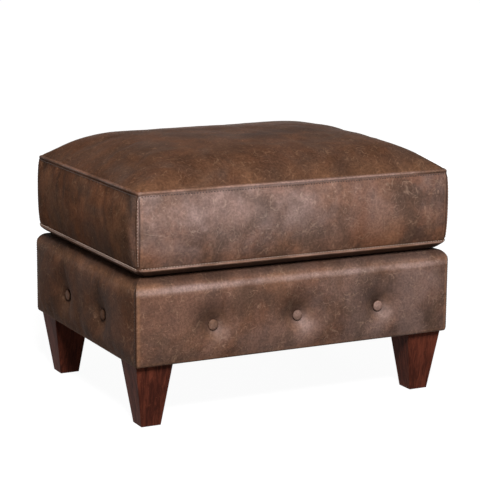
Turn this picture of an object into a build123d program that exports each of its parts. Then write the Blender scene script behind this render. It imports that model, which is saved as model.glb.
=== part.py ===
from build123d import *
import math
import os

# A leather ottoman: a zipped box cushion tied down on an upholstered, buttoned base with four tapered legs.
# Millimetres, +Z up. The origin is on the floor, under the middle of the ottoman. The front faces -Y.

# Base box, measured between its corner seams
base_width = 700.0
base_depth = 527.0
base_height = 173.0
foot_roll = 7.0
top_roll = 24.0
return_width = 36.0
turn_under = 36.0
corner_run = 8.0
corner_lean = 1.5
face_crown = 5.0
face_sag = 1.2

# Soft materials and the clearances between pieces
leather_thickness = 1.6
soft_gap = 0.3
fit_gap = 0.1
cut_overrun = 5.0

# Padding between the seam planes and the wooden frame
side_padding = 27.0
top_padding = 20.0

# Buttons and tufting
button_radius = 10.25
button_rim = 1.6
button_dome = 4.6
button_height = 69.5
front_button_count = 3
front_button_spacing = 185.0
side_button_count = 2
side_button_spacing = 187.0
tuft_depth = 8.0
tuft_reach = 66.0
tuft_seat_margin = 1.5
tuft_pillow = 3.6
twine_radius = 1.0
twine_hole_radius = 3.0
twine_knot_radius = 2.4
toggle_radius = 9.0
toggle_thickness = 3.0

# Wooden frame
rail_thickness = 22.0
brace_width = 22.0
brace_height = 42.0
block_leg = 95.0
block_tip = 12.0
block_height = 52.0

# Wood screws
screw_radius = 2.0
screw_head_radius = 4.0
screw_head_depth = 2.6
rail_screw_length = 48.0
block_screw_bite = 13.0
block_screw_offset = 33.0
plate_screw_length = 18.0
rail_screw_height_shares = (0.42, 0.85)
block_screw_height_shares = (0.5, 0.8)

# Legs and what fastens them
leg_height = 125.0
leg_top = 77.0
leg_foot = 41.5
leg_edge = 2.0
leg_inset_x = 7.2
leg_inset_y = 12.5
bolt_radius = 4.0
bolt_inset = 12.0
bolt_depth_in_leg = 40.0
bolt_reach_in_block = 20.0
plate_half = 24.0
plate_screw_offset = 17.0
glide_radius = 11.0
glide_thickness = 2.0
glide_nail_radius = 1.2
glide_nail_length = 15.0

# Seat deck
spring_count = 4
spring_spacing = 130.0
spring_width = 50.0
spring_wire_radius = 1.9
spring_half_turns = 18
clip_length = 22.0
clip_height = 7.4
tie_wire_radius = 1.2
tie_wire_place = 75.0
tie_wire_seat = 11.0
spring_cover_thickness = 2.0
deck_cloth_thickness = 1.0

# Dust cover under the base
dust_cover_thickness = 0.8
dust_cover_inset = 20.0
dust_cover_leg_gap = 1.5
staple_crown = 10.0
staple_wire = 0.6
staple_prong = 7.0
staple_place = 43.0
front_staple_count = 8
side_staple_count = 5

# Cushion, measured between its corner seams
cushion_width = 690.0
cushion_depth = 524.0
belly_rise = 15.7
belly_width = 24.0
boxing_height = 149.0
boxing_corner_bulge = 3.5
boxing_crown = 3.0
crown_lip = 3.0
crown_height = 56.0
wrap_thickness = 12.0
wrap_step = 0.5
tie_tape_width = 25.0
tie_tape_thickness = 1.0
tie_tape_length = 50.0
tie_tape_place = 130.0

# Zip in the rear boxing
zip_half_length = 300.0
zip_gap_half = 4.6
chain_half = 3.0
chain_thickness = 2.4
tape_width = 12.0
tape_thickness = 0.6
stop_length = 3.0
stop_half = 3.5
slider_length = 11.0
slider_half = 4.0
slider_plate = 1.0
slider_flange = 0.8
slider_gap = 0.2
ear_thickness = 0.8
ear_margin = 0.4
pull_pin_radius = 0.6
pull_pin_gap = 0.08
pull_eye_wall = 0.62
pull_eye_width = 4.8
pull_length = 22.0
pull_width = 6.5
pull_thickness = 1.2
pull_corner = 2.0

# Shares that shape the soft pieces
crown_station_shares = (0.0, 0.4, 0.6, 0.74, 0.85, 0.93, 0.98)
crown_power_x_shares = (6.0, 1.0)
crown_power_y_shares = (3.0, 0.44)
crown_end_share = 0.03
shoulder_share = 0.74
shoulder_mid_share = 0.92
boxing_station_shares = (0.7, 0.35, 0.0)
belly_level_shares = ((0.0, 1.0), (0.17, 0.56), (0.5, 0.2), (1.0, 0.0))
tuft_station_shares = (0.0, 0.4, 1.0)
station_merge_share = 0.01

# Heights worked out from the sizes above
leg_foot_z = glide_thickness
base_foot_z = leg_foot_z + leg_height
deck_z = base_foot_z + base_height
rail_foot_z = base_foot_z + leather_thickness + soft_gap
rail_top_z = deck_z - top_padding
button_z = base_foot_z + button_height
cushion_floor_z = deck_z + soft_gap
seam_low_z = cushion_floor_z + belly_rise
ridge_z = seam_low_z + boxing_height
zip_z = seam_low_z + boxing_height / 2

# Places worked out from the sizes above
half_width = base_width / 2
half_depth = base_depth / 2
rail_outer_x = half_width - side_padding
rail_outer_y = half_depth - side_padding
rail_inner_x = rail_outer_x - rail_thickness
rail_inner_y = rail_outer_y - rail_thickness
tuft_seat_half = button_radius + tuft_seat_margin
bolt_x = rail_inner_x - bolt_inset
bolt_y = rail_inner_y - bolt_inset
leg_x = half_width - leg_inset_x - leg_top / 2
leg_y = half_depth - leg_inset_y - leg_top / 2
half_cushion_x = cushion_width / 2
half_cushion_y = cushion_depth / 2
foam_inset = leather_thickness + soft_gap
corner_signs = ((-1, -1), (1, -1), (-1, 1), (1, 1))

# The four sides: name, turn about Z from the front, half length, distance of the seam plane from the middle
base_sides = (
    ("front", 0, half_width, half_depth),
    ("right", 90, half_depth, half_width),
    ("rear", 180, half_width, half_depth),
    ("left", 270, half_depth, half_width),
)
cushion_sides = (
    ("front", 0, half_cushion_x, half_cushion_y),
    ("right", 90, half_cushion_y, half_cushion_x),
    ("rear", 180, half_cushion_x, half_cushion_y),
    ("left", 270, half_cushion_y, half_cushion_x),
)

parts = {}


# Small helpers

def block(x_low, x_high, y_low, y_high, z_low, z_high):
    """A box between two corners."""
    solid = Box(x_high - x_low, y_high - y_low, z_high - z_low)
    return Pos((x_low + x_high) / 2, (y_low + y_high) / 2, (z_low + z_high) / 2) * solid


def rod(start, end, radius):
    """A round bar from one point to another."""
    way = Vector(*end) - Vector(*start)
    plane = Plane(origin=start, z_dir=tuple(way))
    return plane * Cylinder(radius, way.length, align=(Align.CENTER, Align.CENTER, Align.MIN))


def turned(solid, angle):
    """A piece of the front side, turned about Z to another side."""
    return Rot(0, 0, angle) * solid


def outline_wire(edges):
    """A closed wire from its edges in order: two points make a line, three an arc."""
    made = []
    for points in edges:
        if len(points) == 2:
            made.append(Edge.make_line(points[0], points[1]))
        else:
            made.append(Edge.make_three_point_arc(points[0], points[1], points[2]))
    return Wire(made)


def lofted(wires):
    """A solid through a row of closed wires, straight between them."""
    return Solid.make_loft(wires, True)


def spread(count, spacing):
    """Places of a row of like pieces, centred on zero."""
    return [(i - (count - 1) / 2) * spacing for i in range(count)]


def middle(start, end):
    """The point halfway between two (outward, height) points."""
    return ((start[0] + end[0]) / 2, (start[1] + end[1]) / 2)


def pushed(start, end, sag):
    """The halfway point moved outward by a sag."""
    point = middle(start, end)
    return (point[0] + sag, point[1])


# Padded sides of the base: the same outline serves the leather and, set in, the foam behind it

def button_places(name):
    """Places of the buttons along a side."""
    if name in ("front", "rear"):
        return spread(front_button_count, front_button_spacing)
    return spread(side_button_count, side_button_spacing)


def tuft_share(name, place):
    """How far the face is drawn in by the buttons there: 1 at a button, 0 away from all."""
    share = 0.0
    for button in button_places(name):
        away = (abs(place - button) - tuft_seat_half) / tuft_reach
        away = min(1.0, max(0.0, away))
        share = max(share, (1 - away) ** 2 * (1 + 2 * away))
    return share


def base_stations(name, half_length):
    """Places of the sections along a side, without its two mitred ends."""
    limit = half_length - max(return_width, turn_under) - corner_run
    places = [-limit, limit]
    for button in button_places(name):
        for share in tuft_station_shares:
            away = tuft_seat_half + share * tuft_reach
            places += [button - away, button + away]
    kept = []
    for place in sorted(places):
        if abs(place) > limit:
            continue
        if kept and place - kept[-1] < half_length * station_merge_share:
            continue
        kept.append(place)
    return kept


def base_outline(name, place_share, place, inset):
    """Points of a side's outer surface at one place, as (outward, height), set in by an inset."""
    tuft = tuft_share(name, place)
    crown = corner_lean + face_crown * (1 - place_share ** 2)
    seat_out = crown * (1 - tuft) - tuft_depth * tuft - inset
    top_out = corner_lean + face_crown / 2 * (1 - place_share ** 2)
    sag = face_sag + tuft_pillow * tuft
    under_in = (-turn_under, base_foot_z + inset)
    under_out = (-foot_roll, base_foot_z + inset)
    foot_turn = (foot_roll - inset) * math.sqrt(0.5)
    foot_mid = (-foot_roll + foot_turn, base_foot_z + foot_roll - foot_turn)
    face_low = (-inset, base_foot_z + foot_roll)
    seat_low = (seat_out, button_z - tuft_seat_half)
    seat_high = (seat_out, button_z + tuft_seat_half)
    face_top = (top_out - inset, deck_z - top_roll)
    roll_turn = (top_roll - inset) * math.sqrt(0.5)
    roll_mid = (top_out - top_roll + roll_turn, deck_z - top_roll + roll_turn)
    roll_in = (top_out - top_roll, deck_z - inset)
    return_in = (-return_width, deck_z - inset)
    return [
        (under_in, under_out),
        (under_out, foot_mid, face_low),
        (face_low, pushed(face_low, seat_low, sag), seat_low),
        (seat_low, seat_high),
        (seat_high, pushed(seat_high, face_top, sag), face_top),
        (face_top, roll_mid, roll_in),
        (roll_in, return_in),
    ]


def reversed_outline(edges):
    """The same outline run the other way."""
    return [tuple(reversed(points)) for points in reversed(edges)]


def leather_outline(name, place_share, place):
    """Closed outline of the leather: its outer surface, and its inner one run back."""
    outer = base_outline(name, place_share, place, 0)
    inner = base_outline(name, place_share, place, leather_thickness)
    ends = [(outer[-1][-1], inner[-1][-1])], [(inner[0][0], outer[0][0])]
    return outer + ends[0] + reversed_outline(inner) + ends[1]


def foam_outline(name, place_share, place):
    """Closed outline of the foam: behind the leather, against the rail and over its top."""
    edges = base_outline(name, place_share, place, foam_inset)[1:]
    start = edges[0][0]
    end = edges[-1][-1]
    foot = (-side_padding, start[1])
    over_rail = (-side_padding, rail_top_z)
    inner_low = (end[0], rail_top_z)
    return edges + [(end, inner_low), (inner_low, over_rail), (over_rail, foot), (foot, start)]


def placed(edges, place, reach, mitre, half_length):
    """An outline set in space: square to the side, or in the mitre plane of a corner."""
    made = []
    for points in edges:
        row = []
        for out, height in points:
            along = mitre * (half_length + out) if mitre else place
            row.append((along, -(reach + out), height))
        made.append(row)
    return outline_wire(made)


def padded_side(name, half_length, reach, outline):
    """One side's loft from corner mitre to corner mitre."""
    wires = [placed(outline(name, 1.0, -half_length), 0, reach, -1, half_length)]
    for place in base_stations(name, half_length):
        wires.append(placed(outline(name, place / half_length, place), place, reach, 0, half_length))
    wires.append(placed(outline(name, 1.0, half_length), 0, reach, 1, half_length))
    return lofted(wires)


def twine_holes(name, reach, radius, depth):
    """Drills for the tufting twine of the front side, from outside to a depth."""
    made = []
    for place in button_places(name):
        start = (place, -(reach + cut_overrun), button_z)
        end = (place, -(reach - depth), button_z)
        made.append(rod(start, end, radius))
    return made


def add_padded_sides():
    """Leather panels and the foam pads behind them."""
    for name, angle, half_length, reach in base_sides:
        holes = twine_holes(name, reach, twine_radius + soft_gap, side_padding + cut_overrun)
        leather = padded_side(name, half_length, reach, leather_outline)
        foam = padded_side(name, half_length, reach, foam_outline)
        for hole in holes:
            leather = leather - hole
            foam = foam - hole
        parts["base_" + name + "_leather"] = turned(leather, angle)
        parts["base_" + name + "_foam"] = turned(foam, angle)


# Buttons, twine and toggles

def button_cap():
    """A leather-covered button on the origin, its back on XY and its dome along +Z."""
    back = (0, 0, 0)
    rim = (button_radius, 0, 0)
    rim_top = (button_radius, 0, button_rim)
    peak = (0, 0, button_rim + button_dome)
    sphere = (button_radius ** 2 + button_dome ** 2) / (2 * button_dome)
    half_turn = math.asin(button_radius / sphere) / 2
    drop = sphere * (1 - math.cos(half_turn))
    dome_mid = (sphere * math.sin(half_turn), 0, peak[2] - drop)
    edges = [
        Edge.make_line(back, rim),
        Edge.make_line(rim, rim_top),
        Edge.make_three_point_arc(rim_top, dome_mid, peak),
        Edge.make_line(peak, back),
    ]
    return revolve(Face(Wire(edges)), Axis.Z)


def facing_out(place, out, reach):
    """A plane on the front side, its Z pointing outward."""
    return Plane(origin=(place, -(reach + out), button_z), x_dir=(1, 0, 0), z_dir=(0, -1, 0))


def twine_and_knot(place, reach):
    """Twine from a button's back through foam and rail, with the knot behind its toggle."""
    back = reach - side_padding - rail_thickness - toggle_thickness
    start = (place, -(reach - tuft_depth), button_z)
    end = (place, -back + twine_knot_radius, button_z)
    knot = Pos(place, -back + twine_knot_radius, button_z) * Sphere(twine_knot_radius)
    return rod(start, end, twine_radius) + knot


def toggle(place, reach):
    """A toggle washer on the inner face of the rail."""
    face = reach - side_padding - rail_thickness
    start = (place, -face, button_z)
    end = (place, -(face - toggle_thickness), button_z)
    return rod(start, end, toggle_radius) - rod(start, end, twine_radius + fit_gap)


def add_buttons():
    """The buttons of each side, and what pulls them in."""
    twines = []
    toggles = []
    for name, angle, half_length, reach in base_sides:
        caps = []
        for place in button_places(name):
            caps.append(turned(facing_out(place, -tuft_depth, reach) * button_cap(), angle))
            twines.append(turned(twine_and_knot(place, reach), angle))
            toggles.append(turned(toggle(place, reach), angle))
        parts[name + "_buttons"] = Compound(caps)
    parts["tufting_twines"] = Compound(twines)
    parts["twine_toggles"] = Compound(toggles)


# Wooden frame and its screws

def wood_screw(start, way, length):
    """A countersunk screw from the middle of its head, running along a direction."""
    plane = Plane(origin=start, z_dir=way)
    low = (Align.CENTER, Align.CENTER, Align.MIN)
    head = Cone(screw_head_radius, screw_radius, screw_head_depth, align=low)
    shank = Cylinder(screw_radius, length, align=low)
    return plane * (head + shank)


def rail_screws():
    """Screws through the front and rear rails into the ends of the side rails."""
    made = []
    rise = rail_top_z - rail_foot_z
    for side_x, side_y in corner_signs:
        for share in rail_screw_height_shares:
            x = side_x * (rail_outer_x - rail_thickness / 2)
            start = (x, side_y * rail_outer_y, rail_foot_z + share * rise)
            made.append(wood_screw(start, (0, -side_y, 0), rail_screw_length))
    return made


def block_screws():
    """Screws square to the long face of each corner block, into both rails."""
    made = []
    half_leg = block_leg / 2
    bite = block_leg / 2 * math.sqrt(2) - block_screw_offset + block_screw_bite
    for side_x, side_y in corner_signs:
        for lean in (-1, 1):
            shift = lean * block_screw_offset * math.sqrt(0.5)
            x = rail_inner_x - half_leg + shift
            y = rail_inner_y - half_leg - shift
            for share in block_screw_height_shares:
                start = (side_x * x, side_y * y, rail_foot_z + share * block_height)
                made.append(wood_screw(start, (side_x, side_y, 0), bite))
    return made


def plate_screws():
    """Screws up through each leg plate into the frame."""
    made = []
    for side_x, side_y in corner_signs:
        for shift_x, shift_y in corner_signs:
            x = side_x * (bolt_x + shift_x * plate_screw_offset)
            y = side_y * (bolt_y + shift_y * plate_screw_offset)
            made.append(wood_screw((x, y, base_foot_z), (0, 0, 1), plate_screw_length))
    return made


def corner_block(side_x, side_y):
    """A three-cornered block with its tips cut off, in one corner of the frame."""
    inner_x = side_x * rail_inner_x
    inner_y = side_y * rail_inner_y
    far_x = side_x * (rail_inner_x - block_leg)
    far_y = side_y * (rail_inner_y - block_leg)
    tip_x = far_x + side_x * block_tip
    tip_y = far_y + side_y * block_tip
    points = [(inner_x, inner_y), (tip_x, inner_y), (tip_x, inner_y - side_y * block_tip),
              (inner_x - side_x * block_tip, tip_y), (inner_x, tip_y)]
    face = Face(Wire.make_polygon([(x, y, rail_foot_z) for x, y in points], close=True))
    return extrude(face, amount=block_height, dir=(0, 0, 1))


def staple(place, reach):
    """A staple of the front side's underside: its crown under the dust cover, two prongs up in the rail."""
    y = -(reach - staple_place)
    z = base_foot_z - dust_cover_thickness
    half = staple_crown / 2
    wire = staple_wire / 2
    made = block(place - half, place + half, y - wire, y + wire, z - staple_wire, z)
    for side in (-1, 1):
        x = place + side * (half - wire)
        made = made + block(x - wire, x + wire, y - wire, y + wire, z - wire, z + staple_prong)
    return made


def staples():
    """All the staples of the dust cover, between the legs."""
    made = []
    for name, angle, half_length, reach in base_sides:
        along_x = name in ("front", "rear")
        count = front_staple_count if along_x else side_staple_count
        leg_place = leg_x if along_x else leg_y
        half_run = leg_place - leg_top / 2 - dust_cover_leg_gap - staple_crown
        for place in spread(count, 2 * half_run / (count - 1)):
            made.append(turned(staple(place, reach), angle))
    return made


def without(solid, cutters):
    """A solid with a list of cutters taken out of it, those that reach it only."""
    box = solid.bounding_box()
    for cutter in cutters:
        other = cutter.bounding_box()
        apart = (other.min.X > box.max.X or other.max.X < box.min.X
                 or other.min.Y > box.max.Y or other.max.Y < box.min.Y
                 or other.min.Z > box.max.Z or other.max.Z < box.min.Z)
        if not apart:
            solid = solid - cutter
    return solid


def add_frame():
    """Rails, brace, corner blocks, and the screws that hold them."""
    rail_drills = rail_screws()
    block_drills = block_screws()
    plate_drills = plate_screws()
    prongs = staples()
    drills = rail_drills + block_drills + plate_drills + prongs
    for name, angle, half_length, reach in base_sides:
        half_rail = rail_outer_x if name in ("front", "rear") else rail_inner_y
        outer = reach - side_padding
        rail = block(-half_rail, half_rail, -outer, -(outer - rail_thickness), rail_foot_z, rail_top_z)
        depth = side_padding + rail_thickness + cut_overrun
        for hole in twine_holes(name, reach, twine_hole_radius, depth):
            rail = rail - hole
        parts[name + "_rail"] = without(turned(rail, angle), drills)
    half = brace_width / 2
    parts["centre_brace"] = block(-half, half, -rail_inner_y, rail_inner_y,
                                  rail_foot_z, rail_foot_z + brace_height)
    blocks = []
    for side_x, side_y in corner_signs:
        solid = corner_block(side_x, side_y)
        bolt = rod((side_x * bolt_x, side_y * bolt_y, rail_foot_z - cut_overrun),
                   (side_x * bolt_x, side_y * bolt_y, rail_foot_z + bolt_reach_in_block),
                   bolt_radius + fit_gap)
        blocks.append(without(solid - bolt, block_drills + plate_drills))
    parts["corner_blocks"] = Compound(blocks)
    parts["rail_screws"] = Compound(rail_drills)
    parts["block_screws"] = Compound(block_drills)
    parts["plate_screws"] = Compound(plate_drills)
    parts["dust_cover_staples"] = Compound(prongs)


# Legs, with their bolts, plates and glides

def leg_blank(x, y):
    """A tapered square leg with eased edges."""
    foot = Pos(x, y, leg_foot_z) * RectangleRounded(leg_foot, leg_foot, leg_edge)
    top = Pos(x, y, base_foot_z) * RectangleRounded(leg_top, leg_top, leg_edge)
    return loft([foot.face(), top.face()], ruled=True)


def glide(x, y):
    """A nail-on glide under a leg."""
    disc = rod((x, y, 0), (x, y, glide_thickness), glide_radius)
    nail = rod((x, y, glide_thickness / 2), (x, y, glide_thickness + glide_nail_length), glide_nail_radius)
    return disc + nail


def leg_plate(x, y):
    """A steel plate under the frame with a hole for the bolt."""
    solid = block(x - plate_half, x + plate_half, y - plate_half, y + plate_half, base_foot_z, rail_foot_z)
    hole = rod((x, y, base_foot_z - cut_overrun), (x, y, rail_foot_z + cut_overrun), bolt_radius)
    return solid - hole


def add_legs():
    """The four legs and what fastens them."""
    names = {(-1, -1): "leg_front_left", (1, -1): "leg_front_right",
             (-1, 1): "leg_rear_left", (1, 1): "leg_rear_right"}
    bolts = []
    plates = []
    glides = []
    drills = plate_screws()
    for side_x, side_y in corner_signs:
        x = side_x * bolt_x
        y = side_y * bolt_y
        bolt = rod((x, y, base_foot_z - bolt_depth_in_leg), (x, y, rail_foot_z + bolt_reach_in_block),
                   bolt_radius)
        foot = glide(side_x * leg_x, side_y * leg_y)
        leg = leg_blank(side_x * leg_x, side_y * leg_y)
        parts[names[(side_x, side_y)]] = leg - bolt - foot
        bolts.append(bolt)
        glides.append(foot)
        plates.append(without(leg_plate(x, y), drills))
    parts["leg_bolts"] = Compound(bolts)
    parts["leg_plates"] = Compound(plates)
    parts["leg_glides"] = Compound(glides)


# Seat deck: springs in their clips, tie wires, cover, foam and cloth

spring_lift = 2 * tie_wire_radius + fit_gap + spring_wire_radius
spring_z = rail_top_z + spring_lift
clip_y_outer = half_depth - return_width - soft_gap
clip_y = (clip_y_outer + rail_inner_y) / 2
spring_cover_z = rail_top_z + clip_height + soft_gap
deck_foam_z = spring_cover_z + spring_cover_thickness + soft_gap
deck_cloth_z = deck_z - deck_cloth_thickness
deck_half_x = half_width - return_width - soft_gap
deck_half_y = half_depth - return_width - soft_gap


def spring(x):
    """A sinuous spring: straight bars joined by half turns, from the front clip to the rear clip."""
    turn = clip_y / spring_half_turns
    reach = spring_width / 2 - turn
    edges = []
    for i in range(spring_half_turns + 1):
        side = 1 if i % 2 == 0 else -1
        y = -clip_y + 2 * turn * i
        start = (x - side * reach, y, spring_z)
        end = (x + side * reach, y, spring_z)
        edges.append(Edge.make_line(start, end))
        if i < spring_half_turns:
            peak = (x + side * (reach + turn), y + turn, spring_z)
            edges.append(Edge.make_three_point_arc(end, peak, (end[0], y + 2 * turn, spring_z)))
    path = Wire(edges)
    profile = Plane(origin=(x - reach, -clip_y, spring_z), z_dir=(1, 0, 0)) * Circle(spring_wire_radius)
    return sweep(profile, path)


def spring_clip(x, side):
    """A clip nailed on the rail, which holds the end bar of a spring."""
    half = clip_length / 2
    low = min(side * rail_inner_y, side * clip_y_outer)
    high = max(side * rail_inner_y, side * clip_y_outer)
    solid = block(x - half, x + half, low, high, rail_top_z, rail_top_z + clip_height)
    way = clip_length
    hole = rod((x - way, side * clip_y, spring_z), (x + way, side * clip_y, spring_z),
               spring_wire_radius + fit_gap)
    return solid - hole


def tie_slots():
    """Slots in the deck for the cushion's tie tapes."""
    made = []
    for side_x, side_y in corner_signs:
        x = side_x * tie_tape_place
        half = tie_tape_width / 2 + soft_gap
        outer = side_y * (rail_inner_y + soft_gap)
        inner = side_y * (rail_inner_y - tie_tape_thickness - soft_gap)
        made.append(block(x - half, x + half, min(outer, inner), max(outer, inner),
                          rail_top_z, deck_z + cut_overrun))
    return made


def deck_layer(z_low, z_high, slots):
    """One flat layer of the deck between the returns of the base leather."""
    solid = block(-deck_half_x, deck_half_x, -deck_half_y, deck_half_y, z_low, z_high)
    for slot in slots:
        solid = solid - slot
    return solid


def add_deck():
    """Everything between the frame and the cushion."""
    places = spread(spring_count, spring_spacing)
    parts["sinuous_springs"] = Compound([spring(x) for x in places])
    parts["spring_clips"] = Compound([spring_clip(x, side) for x in places for side in (-1, 1)])
    wires = []
    wire_half = rail_inner_x + tie_wire_seat
    for y in (-tie_wire_place, tie_wire_place):
        z = rail_top_z + tie_wire_radius
        wires.append(rod((-wire_half, y, z), (wire_half, y, z), tie_wire_radius))
    parts["spring_tie_wires"] = Compound(wires)
    slots = tie_slots()
    parts["spring_cover"] = deck_layer(spring_cover_z, spring_cover_z + spring_cover_thickness, slots)
    parts["deck_foam"] = deck_layer(deck_foam_z, deck_cloth_z - soft_gap, slots)
    parts["deck_cloth"] = deck_layer(deck_cloth_z, deck_z, slots)


def add_dust_cover():
    """The thin cloth under the base, cut out round the legs."""
    half_x = half_width - dust_cover_inset
    half_y = half_depth - dust_cover_inset
    z_low = base_foot_z - dust_cover_thickness
    cover = block(-half_x, half_x, -half_y, half_y, z_low, base_foot_z)
    half = leg_top / 2 + dust_cover_leg_gap
    for side_x, side_y in corner_signs:
        x = side_x * leg_x
        y = side_y * leg_y
        outer_x = side_x * (half_x + cut_overrun)
        outer_y = side_y * (half_y + cut_overrun)
        inner_x = x - side_x * half
        inner_y = y - side_y * half
        cover = cover - block(min(inner_x, outer_x), max(inner_x, outer_x),
                              min(inner_y, outer_y), max(inner_y, outer_y),
                              z_low - cut_overrun, base_foot_z + cut_overrun)
    parts["dust_cover"] = without(cover, staples())


# Cushion cover: crowned top, boxing strips, and the bottom that bellies down to the deck

def crown_share_x(share):
    """How full the crown is at a share of the half width, never quite nothing at the ends."""
    power, fullness = crown_power_x_shares
    return max(crown_end_share, (1 - abs(share) ** power) ** fullness)


def crown_share_y(share):
    """How full the crown is at a share of the half depth."""
    power, fullness = crown_power_y_shares
    return (1 - abs(share) ** power) ** fullness


def crown_places(inset, end_places):
    """Stations along the width: the shared ones, and the two ends."""
    inner = [share * half_cushion_x for share in crown_station_shares]
    inner = [place for place in inner if place < half_cushion_x - inset]
    places = [-place for place in inner if place > 0] + inner
    return sorted(places + [-place for place in end_places] + list(end_places))


def crown_edges(x, inset):
    """The crowned top's outline at one station, from the front edge to the rear edge."""
    share = min(1.0, abs(x) / half_cushion_x)
    edge_y = half_cushion_y - inset
    base = ridge_z + crown_lip - inset
    rise = crown_height * crown_share_x(share)
    shoulder_y = shoulder_share * half_cushion_y
    middle_y = shoulder_mid_share * half_cushion_y
    front = (x, -edge_y, base)
    front_mid = (x, -middle_y, base + rise * crown_share_y(shoulder_mid_share))
    front_shoulder = (x, -shoulder_y, base + rise * crown_share_y(shoulder_share))
    peak = (x, 0, base + rise)
    rear_shoulder = (x, shoulder_y, front_shoulder[2])
    rear_mid = (x, middle_y, front_mid[2])
    rear = (x, edge_y, base)
    return [
        (front, front_mid, front_shoulder),
        (front_shoulder, peak, rear_shoulder),
        (rear_shoulder, rear_mid, rear),
    ]


def crown_body(inset, floor_z):
    """The solid under the crowned top, down to a flat floor."""
    wires = []
    edge_y = half_cushion_y - inset
    for x in crown_places(inset, [half_cushion_x - inset]):
        edges = crown_edges(x, inset)
        front_low = (x, -edge_y, floor_z)
        rear_low = (x, edge_y, floor_z)
        edges = [(front_low, edges[0][0])] + edges + [(edges[-1][-1], rear_low), (rear_low, front_low)]
        wires.append(outline_wire(edges))
    return lofted(wires)


def rectangle_wire(half_x, half_y, z):
    """A level rectangle round the middle."""
    points = [(-half_x, -half_y, z), (half_x, -half_y, z), (half_x, half_y, z), (-half_x, half_y, z)]
    return Wire.make_polygon(points, close=True)


def belly_body(inset, rise):
    """The solid inside the cushion's bottom, from the deck up to its seam, lifted by an inset."""
    wires = []
    for high_share, in_share in belly_level_shares:
        back = belly_width * in_share + inset
        z = cushion_floor_z + inset + (belly_rise - inset) * high_share
        wires.append(rectangle_wire(half_cushion_x - back, half_cushion_y - back, z))
    if rise:
        wires.append(rectangle_wire(half_cushion_x - inset, half_cushion_y - inset, seam_low_z + rise))
    return lofted(wires)


def boxing_out(bulge, height):
    """How far a boxing strip stands out at a height from its middle."""
    share = 2 * height / boxing_height
    return bulge * (1 - share ** 2)


def boxing_edges(bulge, low, high):
    """A boxing strip's closed outline between two heights, both given from its middle."""
    heights = (low, (low + high) / 2, high)
    outer = tuple((boxing_out(bulge, height), zip_z + height) for height in heights)
    inner = tuple((out - leather_thickness, height) for out, height in reversed(outer))
    return [outer, (outer[2], inner[0]), inner, (inner[2], outer[0])]


def boxing_strip(half_length, reach, crown, low, high):
    """A boxing strip from seam to seam, one half and its mirror image. Its middle bulges more by the crown."""
    wires = [placed(boxing_edges(boxing_corner_bulge, low, high), 0, reach, -1, half_length)]
    for share in boxing_station_shares:
        edges = boxing_edges(boxing_corner_bulge + crown * (1 - share ** 2), low, high)
        wires.append(placed(edges, -share * half_length, reach, 0, half_length))
    half = lofted(wires)
    return half + mirror(half, Plane.YZ)


def add_cushion_cover():
    """Top, bottom and boxing of the cushion, the rear boxing split for the zip."""
    top_inside = crown_body(leather_thickness, ridge_z - cut_overrun)
    parts["cushion_top_leather"] = crown_body(0, ridge_z) - top_inside
    bottom_inside = belly_body(leather_thickness, cut_overrun)
    parts["cushion_bottom_leather"] = belly_body(0, 0) - bottom_inside
    half_height = boxing_height / 2
    for name, angle, half_length, reach in cushion_sides:
        if name != "rear":
            strip = boxing_strip(half_length, reach, boxing_crown, -half_height, half_height)
            parts["cushion_" + name + "_boxing"] = turned(strip, angle)
            continue
        near = -(reach + cut_overrun + boxing_corner_bulge)
        slot_half = zip_half_length + stop_length + soft_gap
        slot = block(-slot_half, slot_half, near, cut_overrun - reach,
                     zip_z - zip_gap_half, zip_z + zip_gap_half)
        upper = boxing_strip(half_length, reach, 0, 0, half_height) - slot
        lower = boxing_strip(half_length, reach, 0, -half_height, 0) - slot
        parts["cushion_rear_boxing_upper"] = turned(upper, angle)
        parts["cushion_rear_boxing_lower"] = turned(lower, angle)


# Cushion filling: a foam core in a fibre wrap that goes round it from front to rear

def filling_wire(x, inset, half_length):
    """Closed outline of the filling at one station, set in from the cover's outer surface."""
    share = min(1.0, abs(x) / half_cushion_x)
    bulge = boxing_corner_bulge + boxing_crown * (1 - share ** 2)
    edge_y = half_cushion_y - inset
    floor_y = half_cushion_y - belly_width - inset
    low_z = seam_low_z + inset - foam_inset + wrap_step
    flat_x = half_cushion_x - belly_width - inset
    rise_share = min(1.0, max(0.0, (abs(x) - flat_x) / (half_length - flat_x)))
    flat_z = cushion_floor_z + inset
    floor_z = flat_z + (low_z - wrap_step - flat_z) * rise_share
    side_z = ridge_z + min(0, crown_lip - inset) - wrap_step
    crown = crown_edges(x, inset)
    front_top = crown[0][0]
    rear_top = crown[-1][-1]
    mid_z = (low_z + side_z) / 2
    front_bulge = (x, -(edge_y + bulge - wrap_step), mid_z)
    edges = [
        ((x, -floor_y, floor_z), (x, -edge_y, low_z)),
        ((x, -edge_y, low_z), front_bulge, (x, -edge_y, side_z)),
        ((x, -edge_y, side_z), front_top),
    ]
    edges += crown
    edges += [
        (rear_top, (x, edge_y, side_z)),
        ((x, edge_y, side_z), (x, edge_y, low_z)),
        ((x, edge_y, low_z), (x, floor_y, floor_z)),
        ((x, floor_y, floor_z), (x, -floor_y, floor_z)),
    ]
    return outline_wire(edges)


def filling_body(inset, half_length, overrun):
    """A filling solid between two ends, which can run past them."""
    flat_x = half_cushion_x - belly_width - inset
    ends = [flat_x, half_length]
    if overrun:
        ends.append(half_length + overrun)
    wires = []
    for x in crown_places(half_cushion_x - half_length, ends):
        wires.append(filling_wire(x, inset, half_length))
    return lofted(wires)


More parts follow.
